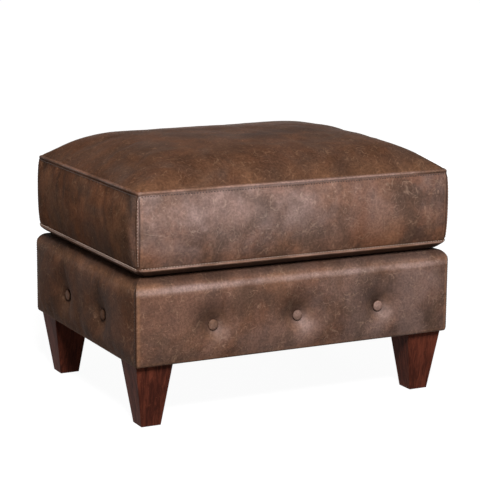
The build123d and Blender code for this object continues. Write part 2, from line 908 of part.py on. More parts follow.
def add_cushion_filling():
    """The fibre wrap and the core inside it."""
    wrap_end = half_cushion_x - foam_inset
    core_inset = foam_inset + wrap_thickness
    outer = filling_body(foam_inset, wrap_end, 0)
    tunnel = filling_body(core_inset, wrap_end, cut_overrun)
    parts["cushion_wrap"] = outer - tunnel
    parts["cushion_core"] = filling_body(core_inset + soft_gap, wrap_end, 0)


def add_tie_tapes():
    """Tapes sewn under the cushion that run down inside the front and rear rails."""
    made = []
    for side_x, side_y in corner_signs:
        x = side_x * tie_tape_place
        half = tie_tape_width / 2
        outer = side_y * rail_inner_y
        inner = side_y * (rail_inner_y - tie_tape_thickness)
        made.append(block(x - half, x + half, min(outer, inner), max(outer, inner),
                          cushion_floor_z - tie_tape_length, cushion_floor_z))
    parts["cushion_tie_tapes"] = Compound(made)


# Zip: tapes, chain, stops, and the slider with its pull tab

tape_out = boxing_out(boxing_corner_bulge, chain_half + tape_width) - leather_thickness - fit_gap
chain_middle = tape_out - tape_thickness / 2
chain_out = chain_middle + chain_thickness / 2
plate_in = chain_out + slider_gap
plate_out = plate_in + slider_plate
pin_out = plate_out + slider_gap + pull_pin_radius + pull_pin_gap + pull_eye_wall
slider_x = zip_half_length - slider_length / 2 - soft_gap


def rear(x_low, x_high, out_low, out_high, z_low, z_high):
    """A box on the rear boxing, its depth given outward from the seam plane and its height from the zip."""
    return block(x_low, x_high, half_cushion_y + out_low, half_cushion_y + out_high,
                 zip_z + z_low, zip_z + z_high)


def zip_tape(side):
    """One of the two tapes, above or below the chain."""
    edges = (side * chain_half, side * (chain_half + tape_width))
    return rear(-zip_half_length, zip_half_length, tape_out - tape_thickness, tape_out,
                min(edges), max(edges))


def zip_stop(side):
    """A stop crimped on one end of the chain."""
    ends = (side * zip_half_length, side * (zip_half_length + stop_length))
    return rear(min(ends), max(ends), chain_middle - chain_thickness / 2, chain_out,
                -stop_half, stop_half)


def zip_slider():
    """The slider's outer plate, its flanges beside the chain, and the ears that hold the pull's pin."""
    half = slider_length / 2
    body = rear(slider_x - half, slider_x + half, plate_in, plate_out, -slider_half, slider_half)
    for side in (-1, 1):
        edges = (side * (slider_half - slider_flange), side * slider_half)
        body = body + rear(slider_x - half, slider_x + half, tape_out + slider_gap, plate_in,
                           min(edges), max(edges))
    ear_reach = pull_pin_radius + ear_margin
    ear_inner = pull_eye_width / 2 + slider_gap
    for side in (-1, 1):
        edges = (slider_x + side * ear_inner, slider_x + side * (ear_inner + ear_thickness))
        body = body + rear(min(edges), max(edges), plate_in, pin_out + ear_reach, -ear_reach, ear_reach)
    pin_half = ear_inner + ear_thickness / 2
    y = half_cushion_y + pin_out
    return body + rod((slider_x - pin_half, y, zip_z), (slider_x + pin_half, y, zip_z), pull_pin_radius)


def zip_pull():
    """The pull tab, hanging from the slider's pin."""
    y = half_cushion_y + pin_out
    half_eye = pull_eye_width / 2
    bore = pull_pin_radius + pull_pin_gap
    start = (slider_x - half_eye, y, zip_z)
    end = (slider_x + half_eye, y, zip_z)
    eye = rod(start, end, bore + pull_eye_wall)
    neck_low = -(bore + pull_eye_wall + ear_margin + pull_pin_radius + slider_gap)
    neck = rear(slider_x - half_eye, slider_x + half_eye, pin_out - pull_thickness / 2,
                pin_out + pull_thickness / 2, neck_low, 0)
    centre = Plane(origin=(slider_x, y - pull_thickness / 2, zip_z + (neck_low - pull_length) / 2),
                   x_dir=(1, 0, 0), z_dir=(0, 1, 0))
    outline = RectangleRounded(pull_width, pull_length + neck_low, pull_corner)
    tab = extrude(centre * outline, amount=pull_thickness, dir=(0, 1, 0))
    return eye + neck + tab - rod(start, end, bore)


def add_zip():
    """The zip in the rear boxing."""
    parts["zip_tapes"] = Compound([zip_tape(-1), zip_tape(1)])
    parts["zip_chain"] = rear(-zip_half_length, zip_half_length, chain_middle - chain_thickness / 2,
                              chain_out, -chain_half, chain_half)
    parts["zip_stops"] = Compound([zip_stop(-1), zip_stop(1)])
    parts["zip_slider"] = zip_slider()
    parts["zip_pull"] = zip_pull()


# Build and write every piece

add_padded_sides()
add_buttons()
add_frame()
add_legs()
add_deck()
add_dust_cover()
add_cushion_cover()
add_cushion_filling()
add_tie_tapes()
add_zip()

os.makedirs("parts", exist_ok=True)
for name, solid in parts.items():
    export_step(solid, "parts/" + name + ".step")
print(len(parts), "pieces written")
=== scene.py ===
"""Leather ottoman: the covers, seams, buttons, zip and finishes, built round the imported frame.

One operator makes each piece or group of like pieces, one dresses the nodes that stay, and one
makes the stage. Sizes are in metres, with the front towards -Y and the floor at z = 0.
"""

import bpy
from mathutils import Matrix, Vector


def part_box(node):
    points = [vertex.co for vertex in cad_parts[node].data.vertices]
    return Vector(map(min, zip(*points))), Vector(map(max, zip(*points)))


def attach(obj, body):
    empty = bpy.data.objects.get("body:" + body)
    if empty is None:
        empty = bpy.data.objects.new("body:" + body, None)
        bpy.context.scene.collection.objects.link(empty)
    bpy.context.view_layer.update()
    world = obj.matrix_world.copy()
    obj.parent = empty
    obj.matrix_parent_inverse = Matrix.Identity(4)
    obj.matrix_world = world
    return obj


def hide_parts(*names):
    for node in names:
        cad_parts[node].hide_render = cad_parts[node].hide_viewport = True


bl_info = {
    "name": "Leather Ottoman",
    "version": (1, 0, 0),
    "blender": (4, 5, 0),
    "location": "3D View > Sidebar > Ottoman",
    "description": "Upholsters a zipped box-cushion ottoman over its packed frame",
    "category": "Add Mesh",
}

import math

import bpy
import numpy as np
from bpy.props import FloatProperty, FloatVectorProperty, PointerProperty
from bpy.types import NodeSocket, Operator, Panel, PropertyGroup
from mathutils import Matrix, Vector, noise
from mathutils.bvhtree import BVHTree

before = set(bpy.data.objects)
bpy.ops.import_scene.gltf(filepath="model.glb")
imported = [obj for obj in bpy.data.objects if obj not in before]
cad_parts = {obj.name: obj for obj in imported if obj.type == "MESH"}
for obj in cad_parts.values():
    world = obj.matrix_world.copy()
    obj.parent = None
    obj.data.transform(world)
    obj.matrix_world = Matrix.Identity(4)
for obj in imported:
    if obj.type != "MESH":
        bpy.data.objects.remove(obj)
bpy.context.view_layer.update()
MM = 0.001
TINY = 1e-6
STUFFING_FRAMES = 20

TOP, FRONT, RIGHT, REAR, LEFT, BOTTOM = range(6)
BASE_PANELS, BUTTON_PANELS = 6, 10


# ---- settings

def length(name, default, description):
    """A length that a user may change."""
    return FloatProperty(name=name, description=description, default=default, unit="LENGTH", precision=4)


def share(name, default, description):
    """A share from none to all."""
    return FloatProperty(name=name, description=description, default=default, subtype="FACTOR",
                         min=0.0, max=1.0)


def angle(name, default, description):
    """An angle of the camera."""
    return FloatProperty(name=name, description=description, default=default, subtype="ANGLE")


def power(name, default, description):
    """The power of a lamp."""
    return FloatProperty(name=name, description=description, default=default, min=0.0, unit="POWER")


def colour(name, default, description):
    """A linear colour that a user may change."""
    return FloatVectorProperty(name=name, description=description, default=default, size=3,
                               subtype="COLOR", min=0.0, max=1.0)


class OttomanSizes(PropertyGroup):
    """Sizes of the upholstery."""
    cushion_width: length("Cushion width", 0.690, "Between the left and right seams")
    cushion_depth: length("Cushion depth", 0.524, "Between the front and rear seams")
    cushion_floor: length("Cushion underside", 0.3003, "Height at which the cushion rests on the deck")
    seam_low: length("Lower seam", 0.316, "Height of the lower seam's welt")
    seam_high: length("Upper seam", 0.465, "Height of the upper seam's welt")
    crown: length("Crown", 0.058, "Rise of the top panel over its edge")
    corner: length("Cushion corner", 0.0045, "Radius of the cushion's corners in plan")
    base_width: length("Base width", 0.700, "Between the base's corner seams")
    base_depth: length("Base depth", 0.527, "Between the base's corner seams, front to back")
    base_foot: length("Base underside", 0.127, "Height at which the leather turns under the rails")
    base_top: length("Deck height", 0.300, "Height of the padded top edge")
    base_roll: length("Top roll", 0.024, "Radius of the padded top edge")
    base_corner: length("Base corner", 0.0035, "Radius of the base's corners in plan")
    button_radius: length("Button radius", 0.0110, "Half the width of a covered button")
    stitch_pitch: length("Stitch pitch", 0.006, "From one stitch to the next")
    puff: length("Puff", 0.005, "How far the stuffing may move the leather")


class OttomanColours(PropertyGroup):
    """Colours and finish of the leather, wood and thread."""
    dark: colour("Dark leather", (0.052, 0.022, 0.011), "The darkest clouds of the leather")
    mid: colour("Mid leather", (0.165, 0.065, 0.032), "The usual brown of the leather")
    worn: colour("Worn leather", (0.290, 0.140, 0.072), "Leather rubbed lighter along edges")
    # The bloom colour also stands for painted sheen: it greys and lightens the faces where highlights
    # fall.
    bloom: colour("Leather bloom", (0.275, 0.180, 0.158), "The greyish wax bloom on smooth parts")
    smudge: colour("Smudges", (0.072, 0.042, 0.030), "Greyish dark smudges over the waxy parts")
    rubbed: colour("Scuffed leather", (0.330, 0.180, 0.105), "Fine scratches on the dull parts")
    scratch: colour("Scratched leather", (0.410, 0.290, 0.230), "Fine scratches on the waxy parts")
    wood_dark: colour("Dark wood", (0.042, 0.011, 0.007), "The dark of the stained legs")
    wood_light: colour("Light wood", (0.135, 0.034, 0.019), "The lighter grain of the stained legs")
    thread_dark: colour("Dark thread", (0.035, 0.018, 0.012), "Thread of the upper seam")
    thread_pale: colour("Pale thread", (0.480, 0.350, 0.280), "Thread of the lower and corner seams")
    wear: share("Wear", 0.8, "How much of the worn edges shows")


class OttomanStage(PropertyGroup):
    """Camera and lights."""
    eye: FloatVectorProperty(name="Camera place", description="Where the camera stands", size=3,
                             default=(-1.63206, -3.20187, 1.01832), subtype="XYZ", unit="LENGTH")
    yaw: angle("Camera turn", 0.472354, "Turn to the right of the front")
    pitch: angle("Camera dip", 0.197187, "Tilt down")
    roll: angle("Camera roll", 0.007838, "Lean of the camera")
    lens: FloatProperty(name="Lens", description="Focal length on a 36 mm sensor", default=131.487,
                        unit="CAMERA")
    key: power("Key light", 165.0, "Power of the main softbox")
    fill: power("Low light", 4.0, "Power of the low softbox at the front right")
    back: power("Rear light", 22.0, "Power of the softbox behind the ottoman")
    room: FloatProperty(name="Room light", description="Strength of the light from all round",
                        default=0.06, min=0.0)


# ---- small tools

def clear_selection():
    """Leaves object mode with nothing selected."""
    if bpy.context.object and bpy.context.object.mode != "OBJECT":
        bpy.ops.object.mode_set(mode="OBJECT")
    bpy.ops.object.select_all(action="DESELECT")


def pick(*pieces):
    """Selects these objects, with the first one active."""
    clear_selection()
    for piece in pieces:
        piece.select_set(True)
    bpy.context.view_layer.objects.active = pieces[0]


def mesh_piece(name, points, faces):
    """A new mesh object from points and faces."""
    mesh = bpy.data.meshes.new(name)
    mesh.from_pydata([tuple(point) for point in points], [], faces)
    mesh.validate()
    piece = bpy.data.objects.new(name, mesh)
    bpy.context.scene.collection.objects.link(piece)
    return piece


def read_vectors(values, name):
    """One vector of each vertex as an array."""
    read = np.empty(len(values) * 3)
    values.foreach_get(name, read)
    return read.reshape(-1, 3)


def read_points(piece):
    """The vertices of a mesh object as an array."""
    return read_vectors(piece.data.vertices, "co")


def read_normals(piece):
    """The vertex normals of a mesh object as an array."""
    return read_vectors(piece.data.vertex_normals, "vector")


def write_points(piece, places):
    """Moves the vertices of a mesh object."""
    piece.data.vertices.foreach_set("co", places.ravel())
    piece.data.update()


def smooth(piece):
    """Shades every face of a piece smooth."""
    piece.data.polygons.foreach_set("use_smooth", [True] * len(piece.data.polygons))


def mark(piece, name, values, domain="POINT"):
    """Stores one number for each vertex, or for each face."""
    kept = piece.data.attributes.get(name) or piece.data.attributes.new(name, "FLOAT", domain)
    kept.data.foreach_set("value", np.asarray(values, np.float32))


def bell(distance, width):
    """A smooth bump, 1 at no distance and near 0 beyond twice the width."""
    return np.exp(-(distance / width) ** 2)


def fade(distance, width):
    """Falls from 1 at an edge towards 0, and stays 1 before it."""
    return np.exp(-np.maximum(distance, 0) / width)


def ease(value, low, high):
    """Goes smoothly from 0 at low to 1 at high."""
    t = np.clip((value - low) / (high - low), 0.0, 1.0)
    return t * t * (3 - 2 * t)


def ripple(along, pitch, shift):
    """An uneven wave along a seam, from -1 to 1."""
    slow = np.sin(along / (pitch * 0.93) + shift * 1.7)
    slower = np.sin(along / (pitch * 2.17) + shift * 0.6)
    return np.sin(2 * math.pi * along / pitch + 2.2 * slow + shift) * (0.62 + 0.38 * slower)


def rumple(places, scale, shift):
    """Smooth uneven values from about -1 to 1 at these places."""
    return np.array([noise.noise(Vector(place) * scale + Vector((shift, shift * 0.7, -shift)))
                     for place in places])


def stuff(piece, held, pressure, cap):
    """Lets a cover fill out under its stuffing, keeps each point within cap of its start, and
    applies the result."""
    before = read_points(piece)
    piece.vertex_groups.new(name="held").add(held, 1.0, "REPLACE")
    pick(piece)
    cloth = piece.modifiers.new("stuffing", "CLOTH")
    for name, value in {"quality": 6, "mass": 0.35, "tension_stiffness": 25, "compression_stiffness": 12,
                        "shear_stiffness": 8, "bending_stiffness": 1.2, "shrink_min": -0.012,
                        "use_pressure": True, "uniform_pressure_force": pressure,
                        "vertex_group_mass": "held"}.items():
        setattr(cloth.settings, name, value)
    cloth.settings.effector_weights.gravity = 0.0
    cloth.collision_settings.use_collision = False
    cloth.point_cache.frame_start, cloth.point_cache.frame_end = 1, STUFFING_FRAMES
    for number in range(1, STUFFING_FRAMES + 1):
        bpy.context.scene.frame_set(number)
    bpy.ops.object.modifier_apply(modifier=cloth.name)
    bpy.context.scene.frame_set(1)
    move = read_points(piece) - before
    far = np.maximum(np.linalg.norm(move, axis=1), 1e-9)
    write_points(piece, before + move * (cap * np.tanh(far / cap) / far)[:, None])
    piece.vertex_groups.clear()


def refine(piece):
    """Divides a cover's faces smoothly and applies it."""
    pick(piece)
    finer = piece.modifiers.new("finer", "SUBSURF")
    finer.levels = finer.render_levels = 1
    bpy.ops.object.modifier_apply(modifier=finer.name)
    smooth(piece)


def dress(piece, material, replaces=()):
    """Gives a new piece its finish, its body and the nodes that it stands for."""
    piece.data.materials.clear()
    piece.data.materials.append(material)
    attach(piece, "root")
    if replaces:
        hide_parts(*replaces)


# ---- shader nodes

class Graph:
    """A node tree, with short ways to add its nodes."""

    def __init__(self, tree):
        self.tree = tree

    def feed(self, made, values):
        """Gives a node's sockets values or links."""
        for key, value in values.items():
            if isinstance(value, NodeSocket):
                self.tree.links.new(value, made.inputs[key])
            else:
                made.inputs[key].default_value = value

    def add(self, kind, values=(), **settings):
        """Adds a node, sets it up, and gives its sockets values or links."""
        made = self.tree.nodes.new("ShaderNode" + kind)
        for name, value in settings.items():
            setattr(made, name, value)
        self.feed(made, dict(values))
        return made

    def math(self, how, first, second=0.0, third=0.0):
        """A Math node's output."""
        return self.add("Math", {0: first, 1: second, 2: third}, operation=how).outputs[0]

    def times(self, first, second):
        """One value times another."""
        return self.math("MULTIPLY", first, second)

    def plus(self, first, part, rest):
        """A part of one value, added to another."""
        return self.math("MULTIPLY_ADD", first, part, rest)

    def mix(self, factor, first, second, how="MIX"):
        """A colour between two others."""
        first, second = (value if isinstance(value, NodeSocket) else (*value[:3], 1.0)
                         for value in (first, second))
        return self.add("Mix", {0: factor, 6: first, 7: second}, data_type="RGBA",
                        blend_type=how).outputs[2]

    def spread(self, value, low, high, to_low=0.0, to_high=1.0):
        """Stretches a value smoothly from one range to another, and keeps it there."""
        return self.add("MapRange", {"Value": value, "From Min": low, "From Max": high,
                                     "To Min": to_low, "To Max": to_high},
                        interpolation_type="SMOOTHSTEP").outputs[0]

    def shifted(self, place, step):
        """Coordinates moved by a step."""
        return self.add("VectorMath", {0: place, 1: step}, operation="ADD").outputs[0]

    def turned(self, place, turn, stretch):
        """Coordinates turned and stretched for a pattern with a direction."""
        return self.add("Mapping", {"Vector": place, "Rotation": turn, "Scale": stretch}).outputs[0]

    def clouds(self, place, scale, detail=3.0, rough=0.5, warp=0.0):
        """A Noise node's value."""
        return self.add("TexNoise", {"Vector": place, "Scale": scale, "Detail": detail,
                                     "Roughness": rough, "Distortion": warp}).outputs[0]

    def bump(self, height, strength, depth):
        """A normal that follows a height."""
        return self.add("Bump", {"Height": height, "Strength": strength, "Distance": depth}).outputs[0]


def new_group(name, outputs):
    """A shader group with one Vector in and these values out: its graph, the input and the end."""
    tree = bpy.data.node_groups.new(name, "ShaderNodeTree")
    tree.interface.new_socket("Vector", in_out="INPUT", socket_type="NodeSocketVector")
    for output in outputs:
        tree.interface.new_socket(output, in_out="OUTPUT", socket_type="NodeSocketFloat")
    return Graph(tree), tree.nodes.new("NodeGroupInput").outputs[0], tree.nodes.new("NodeGroupOutput")


def hide_clouds():
    """The leather's slow changes of colour: clouds, streaks, patches of the waxy bloom and its painted
    sheen, and smudges.
    """
    graph, place, end = new_group("hide clouds", ["Clouds", "Streaks", "Bloom", "Smudges"])
    wide, small = graph.clouds(place, 8.0, 4.0, 0.55, 0.5), graph.clouds(place, 27.0, 4.0, 0.6, 0.4)
    slant = graph.turned(place, (0.4, 0.9, 0.5), (26.0, 9.0, 11.0))
    graph.feed(end, {
        "Clouds": graph.spread(graph.plus(small, 0.45, graph.times(wide, 0.55)), 0.40, 0.61),
        "Streaks": graph.spread(graph.clouds(slant, 1.0, 2.0, 0.5, 0.6), 0.42, 0.66),
        "Bloom": graph.spread(graph.clouds(place, 9.0, 3.0, 0.5, 0.5), 0.32, 0.68),
        "Smudges": graph.spread(graph.clouds(place, 12.0, 2.5, 0.45, 0.8), 0.44, 0.72)})
    return graph.tree


# Layers of scratches: the scale and width of their lines, and the scale and onset of their patches.
SCRATCHES = ((19.0, 0.009, 30.0, 0.50), (31.0, 0.014, 38.0, 0.51), (47.0, 0.020, 46.0, 0.51),
             (66.0, 0.028, 58.0, 0.51))


def hide_marks():
    """Fine curved hair-like scratches in all directions, in patches."""
    graph, place, end = new_group("hide marks", ["Marks"])
    total = 0.0
    for scale, width, patch_scale, onset in SCRATCHES:
        there = graph.shifted(place, (scale, 0.0, 0.0))
        off_line = graph.math("SUBTRACT", graph.clouds(there, scale, 0.6, 0.5, 0.5), 0.5)
        line = graph.spread(graph.math("ABSOLUTE", off_line), 0.0, width, 1.0, 0.0)
        patch = graph.spread(graph.clouds(there, patch_scale, 2.0, 0.6), onset, onset + 0.1)
        total = graph.plus(line, patch, total)
    graph.feed(end, {"Marks": graph.math("MINIMUM", total, 1.0)})
    return graph.tree


def hide_grain():
    """Pores and fine speckle."""
    graph, place, end = new_group("hide grain", ["Pores", "Speckle"])
    cells = graph.add("TexVoronoi", {"Vector": place, "Scale": 820.0},
                      feature="DISTANCE_TO_EDGE").outputs["Distance"]
    soft = graph.clouds(place, 330.0, 3.0, 0.6)
    graph.feed(end, {
        "Pores": graph.plus(graph.spread(cells, 0.0, 0.22), 0.5, soft),
        "Speckle": graph.spread(graph.clouds(place, 210.0, 4.0, 0.7), 0.34, 0.66)})
    return graph.tree


# ---- materials

def new_material(name):
    """An empty material: its graph, shader and Object coordinates."""
    made = bpy.data.materials.new(name)
    made.use_nodes = True
    made.node_tree.nodes.clear()
    graph = Graph(made.node_tree)
    shader = graph.add("BsdfPrincipled")
    graph.add("OutputMaterial", {0: shader.outputs[0]})
    return graph, shader, graph.add("TexCoord").outputs["Object"]


def leather(name, groups, colours):
    """Distressed brown leather, with its clouds shifted from panel to panel. The wear attribute is
    where it is rubbed lighter. The bloom attribute is where it is waxy and glossier, and where a greyish
    sheen is painted into its colour as highlights. The grime attribute is where dirt and dye have
    gathered, and where shade is painted in grooves, under the cushion and round the tufts. The tone
    attribute keeps the clouds dark or light."""
    graph, shader, place = new_material(name)
    panel, worn, wax_and_sheen, grimy_and_shaded, tone = (
        graph.add("Attribute", attribute_name=attribute).outputs["Fac"]
        for attribute in ("panel", "wear", "bloom", "grime", "tone"))
    step = graph.add("CombineXYZ", {axis: graph.times(panel, shift)
                                    for axis, shift in enumerate((1.7, 2.3, 0.9))}).outputs[0]
    place = graph.shifted(place, step)
    clouds, marks, grain = (graph.add("Group", {0: place}, node_tree=groups[kind]).outputs
                            for kind in ("clouds", "marks", "grain"))
    scratches = marks["Marks"]
    shade = graph.mix(graph.times(clouds["Clouds"], tone), colours.dark, colours.mid)
    shade = graph.mix(graph.times(graph.times(clouds["Streaks"], 0.26), tone), shade, colours.worn)
    # Painted sheen: the bloom attribute, broken into patches, mixes the greyish bloom colour in where
    # highlights fall. The same share also makes those parts glossier with a coat.
    waxed = graph.times(wax_and_sheen, graph.spread(clouds["Bloom"], 0.0, 1.0, 0.4, 0.95))
    shade = graph.mix(waxed, shade, colours.bloom)
    shade = graph.mix(graph.times(clouds["Smudges"], 0.65), shade, colours.smudge)
    rubbed = graph.times(worn, graph.spread(clouds["Clouds"], 0.0, 1.0, 0.55, 1.0))
    shade = graph.mix(graph.times(rubbed, colours.wear), shade, colours.worn)
    shade = graph.mix(graph.times(scratches, graph.spread(tone, 0.3, 0.5, 0.24, 0.34)), shade,
                      graph.mix(wax_and_sheen, colours.rubbed, colours.scratch))
    # Grime darkens towards near black: dirt in places, and painted shade in seam grooves, under the
    # cushion and in the tufts.
    shade = graph.mix(grimy_and_shaded, shade, (0.018, 0.008, 0.005))
    speckle = graph.spread(grain["Speckle"], 0.0, 1.0, 0.81, 1.17)
    tint = graph.add("CombineColor", {0: speckle, 1: speckle, 2: speckle}).outputs[0]
    height = graph.plus(scratches, -0.25, grain["Pores"])
    graph.feed(shader, {
        "Base Color": graph.mix(1.0, shade, tint, "MULTIPLY"),
        "Roughness": graph.plus(scratches, 0.06, graph.spread(waxed, 0.0, 1.0, 0.82, 0.58)),
        "Normal": graph.bump(height, 0.3, 0.16 * MM),
        "Specular IOR Level": 0.06, "Specular Tint": (1.0, 0.82, 0.68, 1.0),
        "Coat Weight": graph.times(waxed, 0.42), "Coat Roughness": 0.4})


def finish(graph, shader, factor, dark, light, rough, height=None, strength=0.25, depth=0.3 * MM):
    """Gives a shader a colour between two others, its roughness, and relief from a height."""
    graph.feed(shader, {"Base Color": graph.mix(factor, dark, light), "Roughness": rough})
    if height is not None:
        graph.feed(shader, {"Normal": graph.bump(height, strength, depth)})


def stained_wood(name, colours):
    """Dark cherry stain with upright grain, small nicks and a satin coat."""
    graph, shader, place = new_material(name)
    upright = graph.turned(place, (0.0, 0.0, 0.0), (1.0, 1.0, 0.07))
    grain = graph.clouds(upright, 170.0, 4.0, 0.6, 1.2)
    bands = graph.clouds(upright, 34.0, 3.0, 0.5, 0.8)
    both = graph.plus(grain, 0.55, graph.times(bands, 0.45))
    shade = graph.mix(graph.spread(both, 0.36, 0.64), colours.wood_dark, colours.wood_light)
    nicks = graph.times(graph.spread(graph.clouds(place, 420.0, 1.0), 0.74, 0.79), 0.5)
    finish(graph, shader, nicks, shade, (0.32, 0.12, 0.05), graph.spread(both, 0.3, 0.7, 0.60, 0.50),
           grain, 0.3, 0.2 * MM)
    graph.feed(shader, {"Specular IOR Level": 0.04})


def planed_wood(name):
    """Bare hardwood of the hidden frame."""
    graph, shader, place = new_material(name)
    grain = graph.clouds(graph.turned(place, (0.0, 0.0, 0.0), (0.12, 0.12, 1.0)), 120.0, 4.0, 0.6, 0.8)
    finish(graph, shader, graph.spread(grain, 0.35, 0.65), (0.42, 0.27, 0.14), (0.60, 0.43, 0.26),
           graph.spread(grain, 0.3, 0.7, 0.55, 0.68), grain)


def cloth(name, dark, light, threads):
    """Woven or felted cloth: crossed threads over a slow change of colour."""
    graph, shader, place = new_material(name)
    warp, weft = (graph.add("TexWave", {"Vector": place, "Scale": threads, "Distortion": 0.6,
                                        "Detail": 1.0}, bands_direction=way).outputs["Fac"]
                  for way in "XY")
    weave = graph.times(graph.math("ADD", warp, weft), 0.5)
    both = graph.plus(graph.clouds(place, 260.0, 3.0, 0.6), 0.5, graph.times(weave, 0.5))
    finish(graph, shader, both, dark, light, 0.9, both, 0.4, 0.4 * MM)


def metal(name, shade, rough, grain=300.0):
    """Plated metal with faint wear in its gloss."""
    graph, shader, place = new_material(name)
    wear = graph.clouds(place, grain, 3.0, 0.6)
    finish(graph, shader, graph.spread(wear, 0.3, 0.7), dimmed(shade, 0.6), shade,
           graph.spread(wear, 0.3, 0.7, rough + 0.12, rough))
    graph.feed(shader, {"Metallic": 1.0})


def moulded(name, dark, light, rough, scale=240.0):
    """Moulded plastic or cut foam, with a fine uneven surface."""
    graph, shader, place = new_material(name)
    skin = graph.clouds(place, scale, 4.0, 0.65)
    finish(graph, shader, graph.spread(skin, 0.3, 0.7), dark, light,
           graph.spread(skin, 0.3, 0.7, rough + 0.08, rough), skin)


def thread(name, dark, light):
    """Twisted sewing thread."""
    graph, shader, place = new_material(name)
    twist = graph.clouds(place, 900.0, 2.0, 0.6)
    finish(graph, shader, graph.spread(twist, 0.3, 0.7), dark, light, 0.62, twist, 0.4, 0.2 * MM)


def dimmed(shade, part):
    """A colour made darker."""
    return tuple(value * part for value in shade)


def make_materials():
    """Every finish of the ottoman, by name. Made once, then found again."""
    if "worn brown leather" in bpy.data.materials:
        return bpy.data.materials
    colours = bpy.context.scene.ottoman_colours
    groups = {"clouds": hide_clouds(), "marks": hide_marks(), "grain": hide_grain()}
    leather("worn brown leather", groups, colours)
    leather("button leather", groups, colours)
    stained_wood("stained leg wood", colours)
    planed_wood("frame wood")
    moulded("cut foam", (0.62, 0.56, 0.36), (0.80, 0.74, 0.52), 0.85, 500.0)
    cloth("spring felt", (0.16, 0.15, 0.13), (0.36, 0.34, 0.31), 160.0)
    cloth("deck cloth", (0.030, 0.024, 0.020), (0.075, 0.060, 0.050), 330.0)
    cloth("dust cover cloth", (0.012, 0.012, 0.012), (0.035, 0.035, 0.035), 420.0)
    cloth("zip tape", (0.030, 0.019, 0.014), (0.085, 0.055, 0.042), 900.0)
    thread("waxed twine", (0.34, 0.27, 0.17), (0.55, 0.46, 0.32))
    thread("dark seam thread", dimmed(colours.thread_dark, 0.6), colours.thread_dark)
    thread("pale seam thread", dimmed(colours.thread_pale, 0.65), colours.thread_pale)
    moulded("toggle plastic", (0.020, 0.019, 0.018), (0.045, 0.042, 0.040), 0.4)
    moulded("zip teeth", (0.022, 0.014, 0.010), (0.055, 0.034, 0.024), 0.32)
    metal("zinc plated steel", (0.56, 0.56, 0.58), 0.32)
    metal("antique zip metal", (0.40, 0.29, 0.15), 0.30, 500.0)
    return bpy.data.materials


# ---- plans of the covers

FINE_STEPS = tuple(step * MM for step in (0, 1.0, 2.0, 3.2, 4.6, 6.0, 7.2, 8.6, 11, 15, 20, 27))
WIDE_STEP = 9 * MM


def steps_to_edge(half):
    """Places from one edge through the middle to the other, close together near both edges."""
    flat = half - FINE_STEPS[-1]
    count = max(1, round(flat / WIDE_STEP))
    places = [flat * index / count for index in range(count)]
    places += [half - distance for distance in reversed(FINE_STEPS)]
    return np.array([-place for place in reversed(places[1:])] + places)


def plan_point(x, y, half_x, half_y, radius, out=0.0):
    """Puts points of a rectangle on a round-cornered plan that is grown by out at its border."""
    across, deep = half_x - np.abs(x), half_y - np.abs(y)
    inset = np.minimum(across, deep)
    old_radius = np.maximum(radius - inset, TINY)
    new_radius = np.maximum(old_radius + out, TINY)
    along = np.maximum(across, deep) - inset
    turn = np.clip(1 - along / old_radius, 0.0, 1.0) * math.pi / 4
    on_side = across <= deep
    bearing = np.where(on_side, turn, math.pi / 2 - turn)
    centre_x = half_x - inset + out - new_radius
    centre_y = half_y - inset + out - new_radius
    flat_x = np.abs(x) * centre_x / np.maximum(half_x - inset - old_radius, TINY)
    flat_y = np.abs(y) * centre_y / np.maximum(half_y - inset - old_radius, TINY)
    corner = along < old_radius
    new_x = np.where(corner | on_side, centre_x + new_radius * np.cos(bearing), flat_x)
    new_y = np.where(corner | ~on_side, centre_y + new_radius * np.sin(bearing), flat_y)
    return np.sign(x) * new_x, np.sign(y) * new_y


def border(xs, ys):
    """The border of a grid, once round against the clock from the front left corner."""
    front = [(x, ys[0]) for x in xs[:-1]]
    right = [(xs[-1], y) for y in ys[:-1]]
    rear = [(x, ys[-1]) for x in xs[:0:-1]]
    left = [(xs[0], y) for y in ys[:0:-1]]
    sides = [FRONT] * len(front) + [RIGHT] * len(right) + [REAR] * len(rear) + [LEFT] * len(left)
    return np.array(front + right + rear + left), sides


def cover_plan(half_x, half_y):
    """The grid lines of a cover's plan, its border, the side of each border point, and how far
    each is from the nearest corner."""
    xs, ys = steps_to_edge(half_x), steps_to_edge(half_y)
    ring, sides = border(xs, ys)
    return xs, ys, ring, sides, np.maximum(half_x - np.abs(ring[:, 0]), half_y - np.abs(ring[:, 1]))


def band(upper, lower):
    """The faces between two closed rows of point numbers."""
    return [(a, b, d, c) for a, b, c, d in
            zip(upper, lower, [*upper[1:], upper[0]], [*lower[1:], lower[0]])]


def lay_out(piece, width, depth):
    """The points of a cover, their x, y and z, and how far in they lie from its sides."""
    places = read_points(piece)
    x, y, z = places.T
    return places, x, y, z, width / 2 - np.abs(x), depth / 2 - np.abs(y)


def by_side(x, y, edge_x, edge_y, front, right, rear, left):
    """One of four values for each point, by the side that it is nearest to."""
    return np.where(edge_x < edge_y, np.where(x < 0, left, right), np.where(y < 0, front, rear))


# ---- cushion

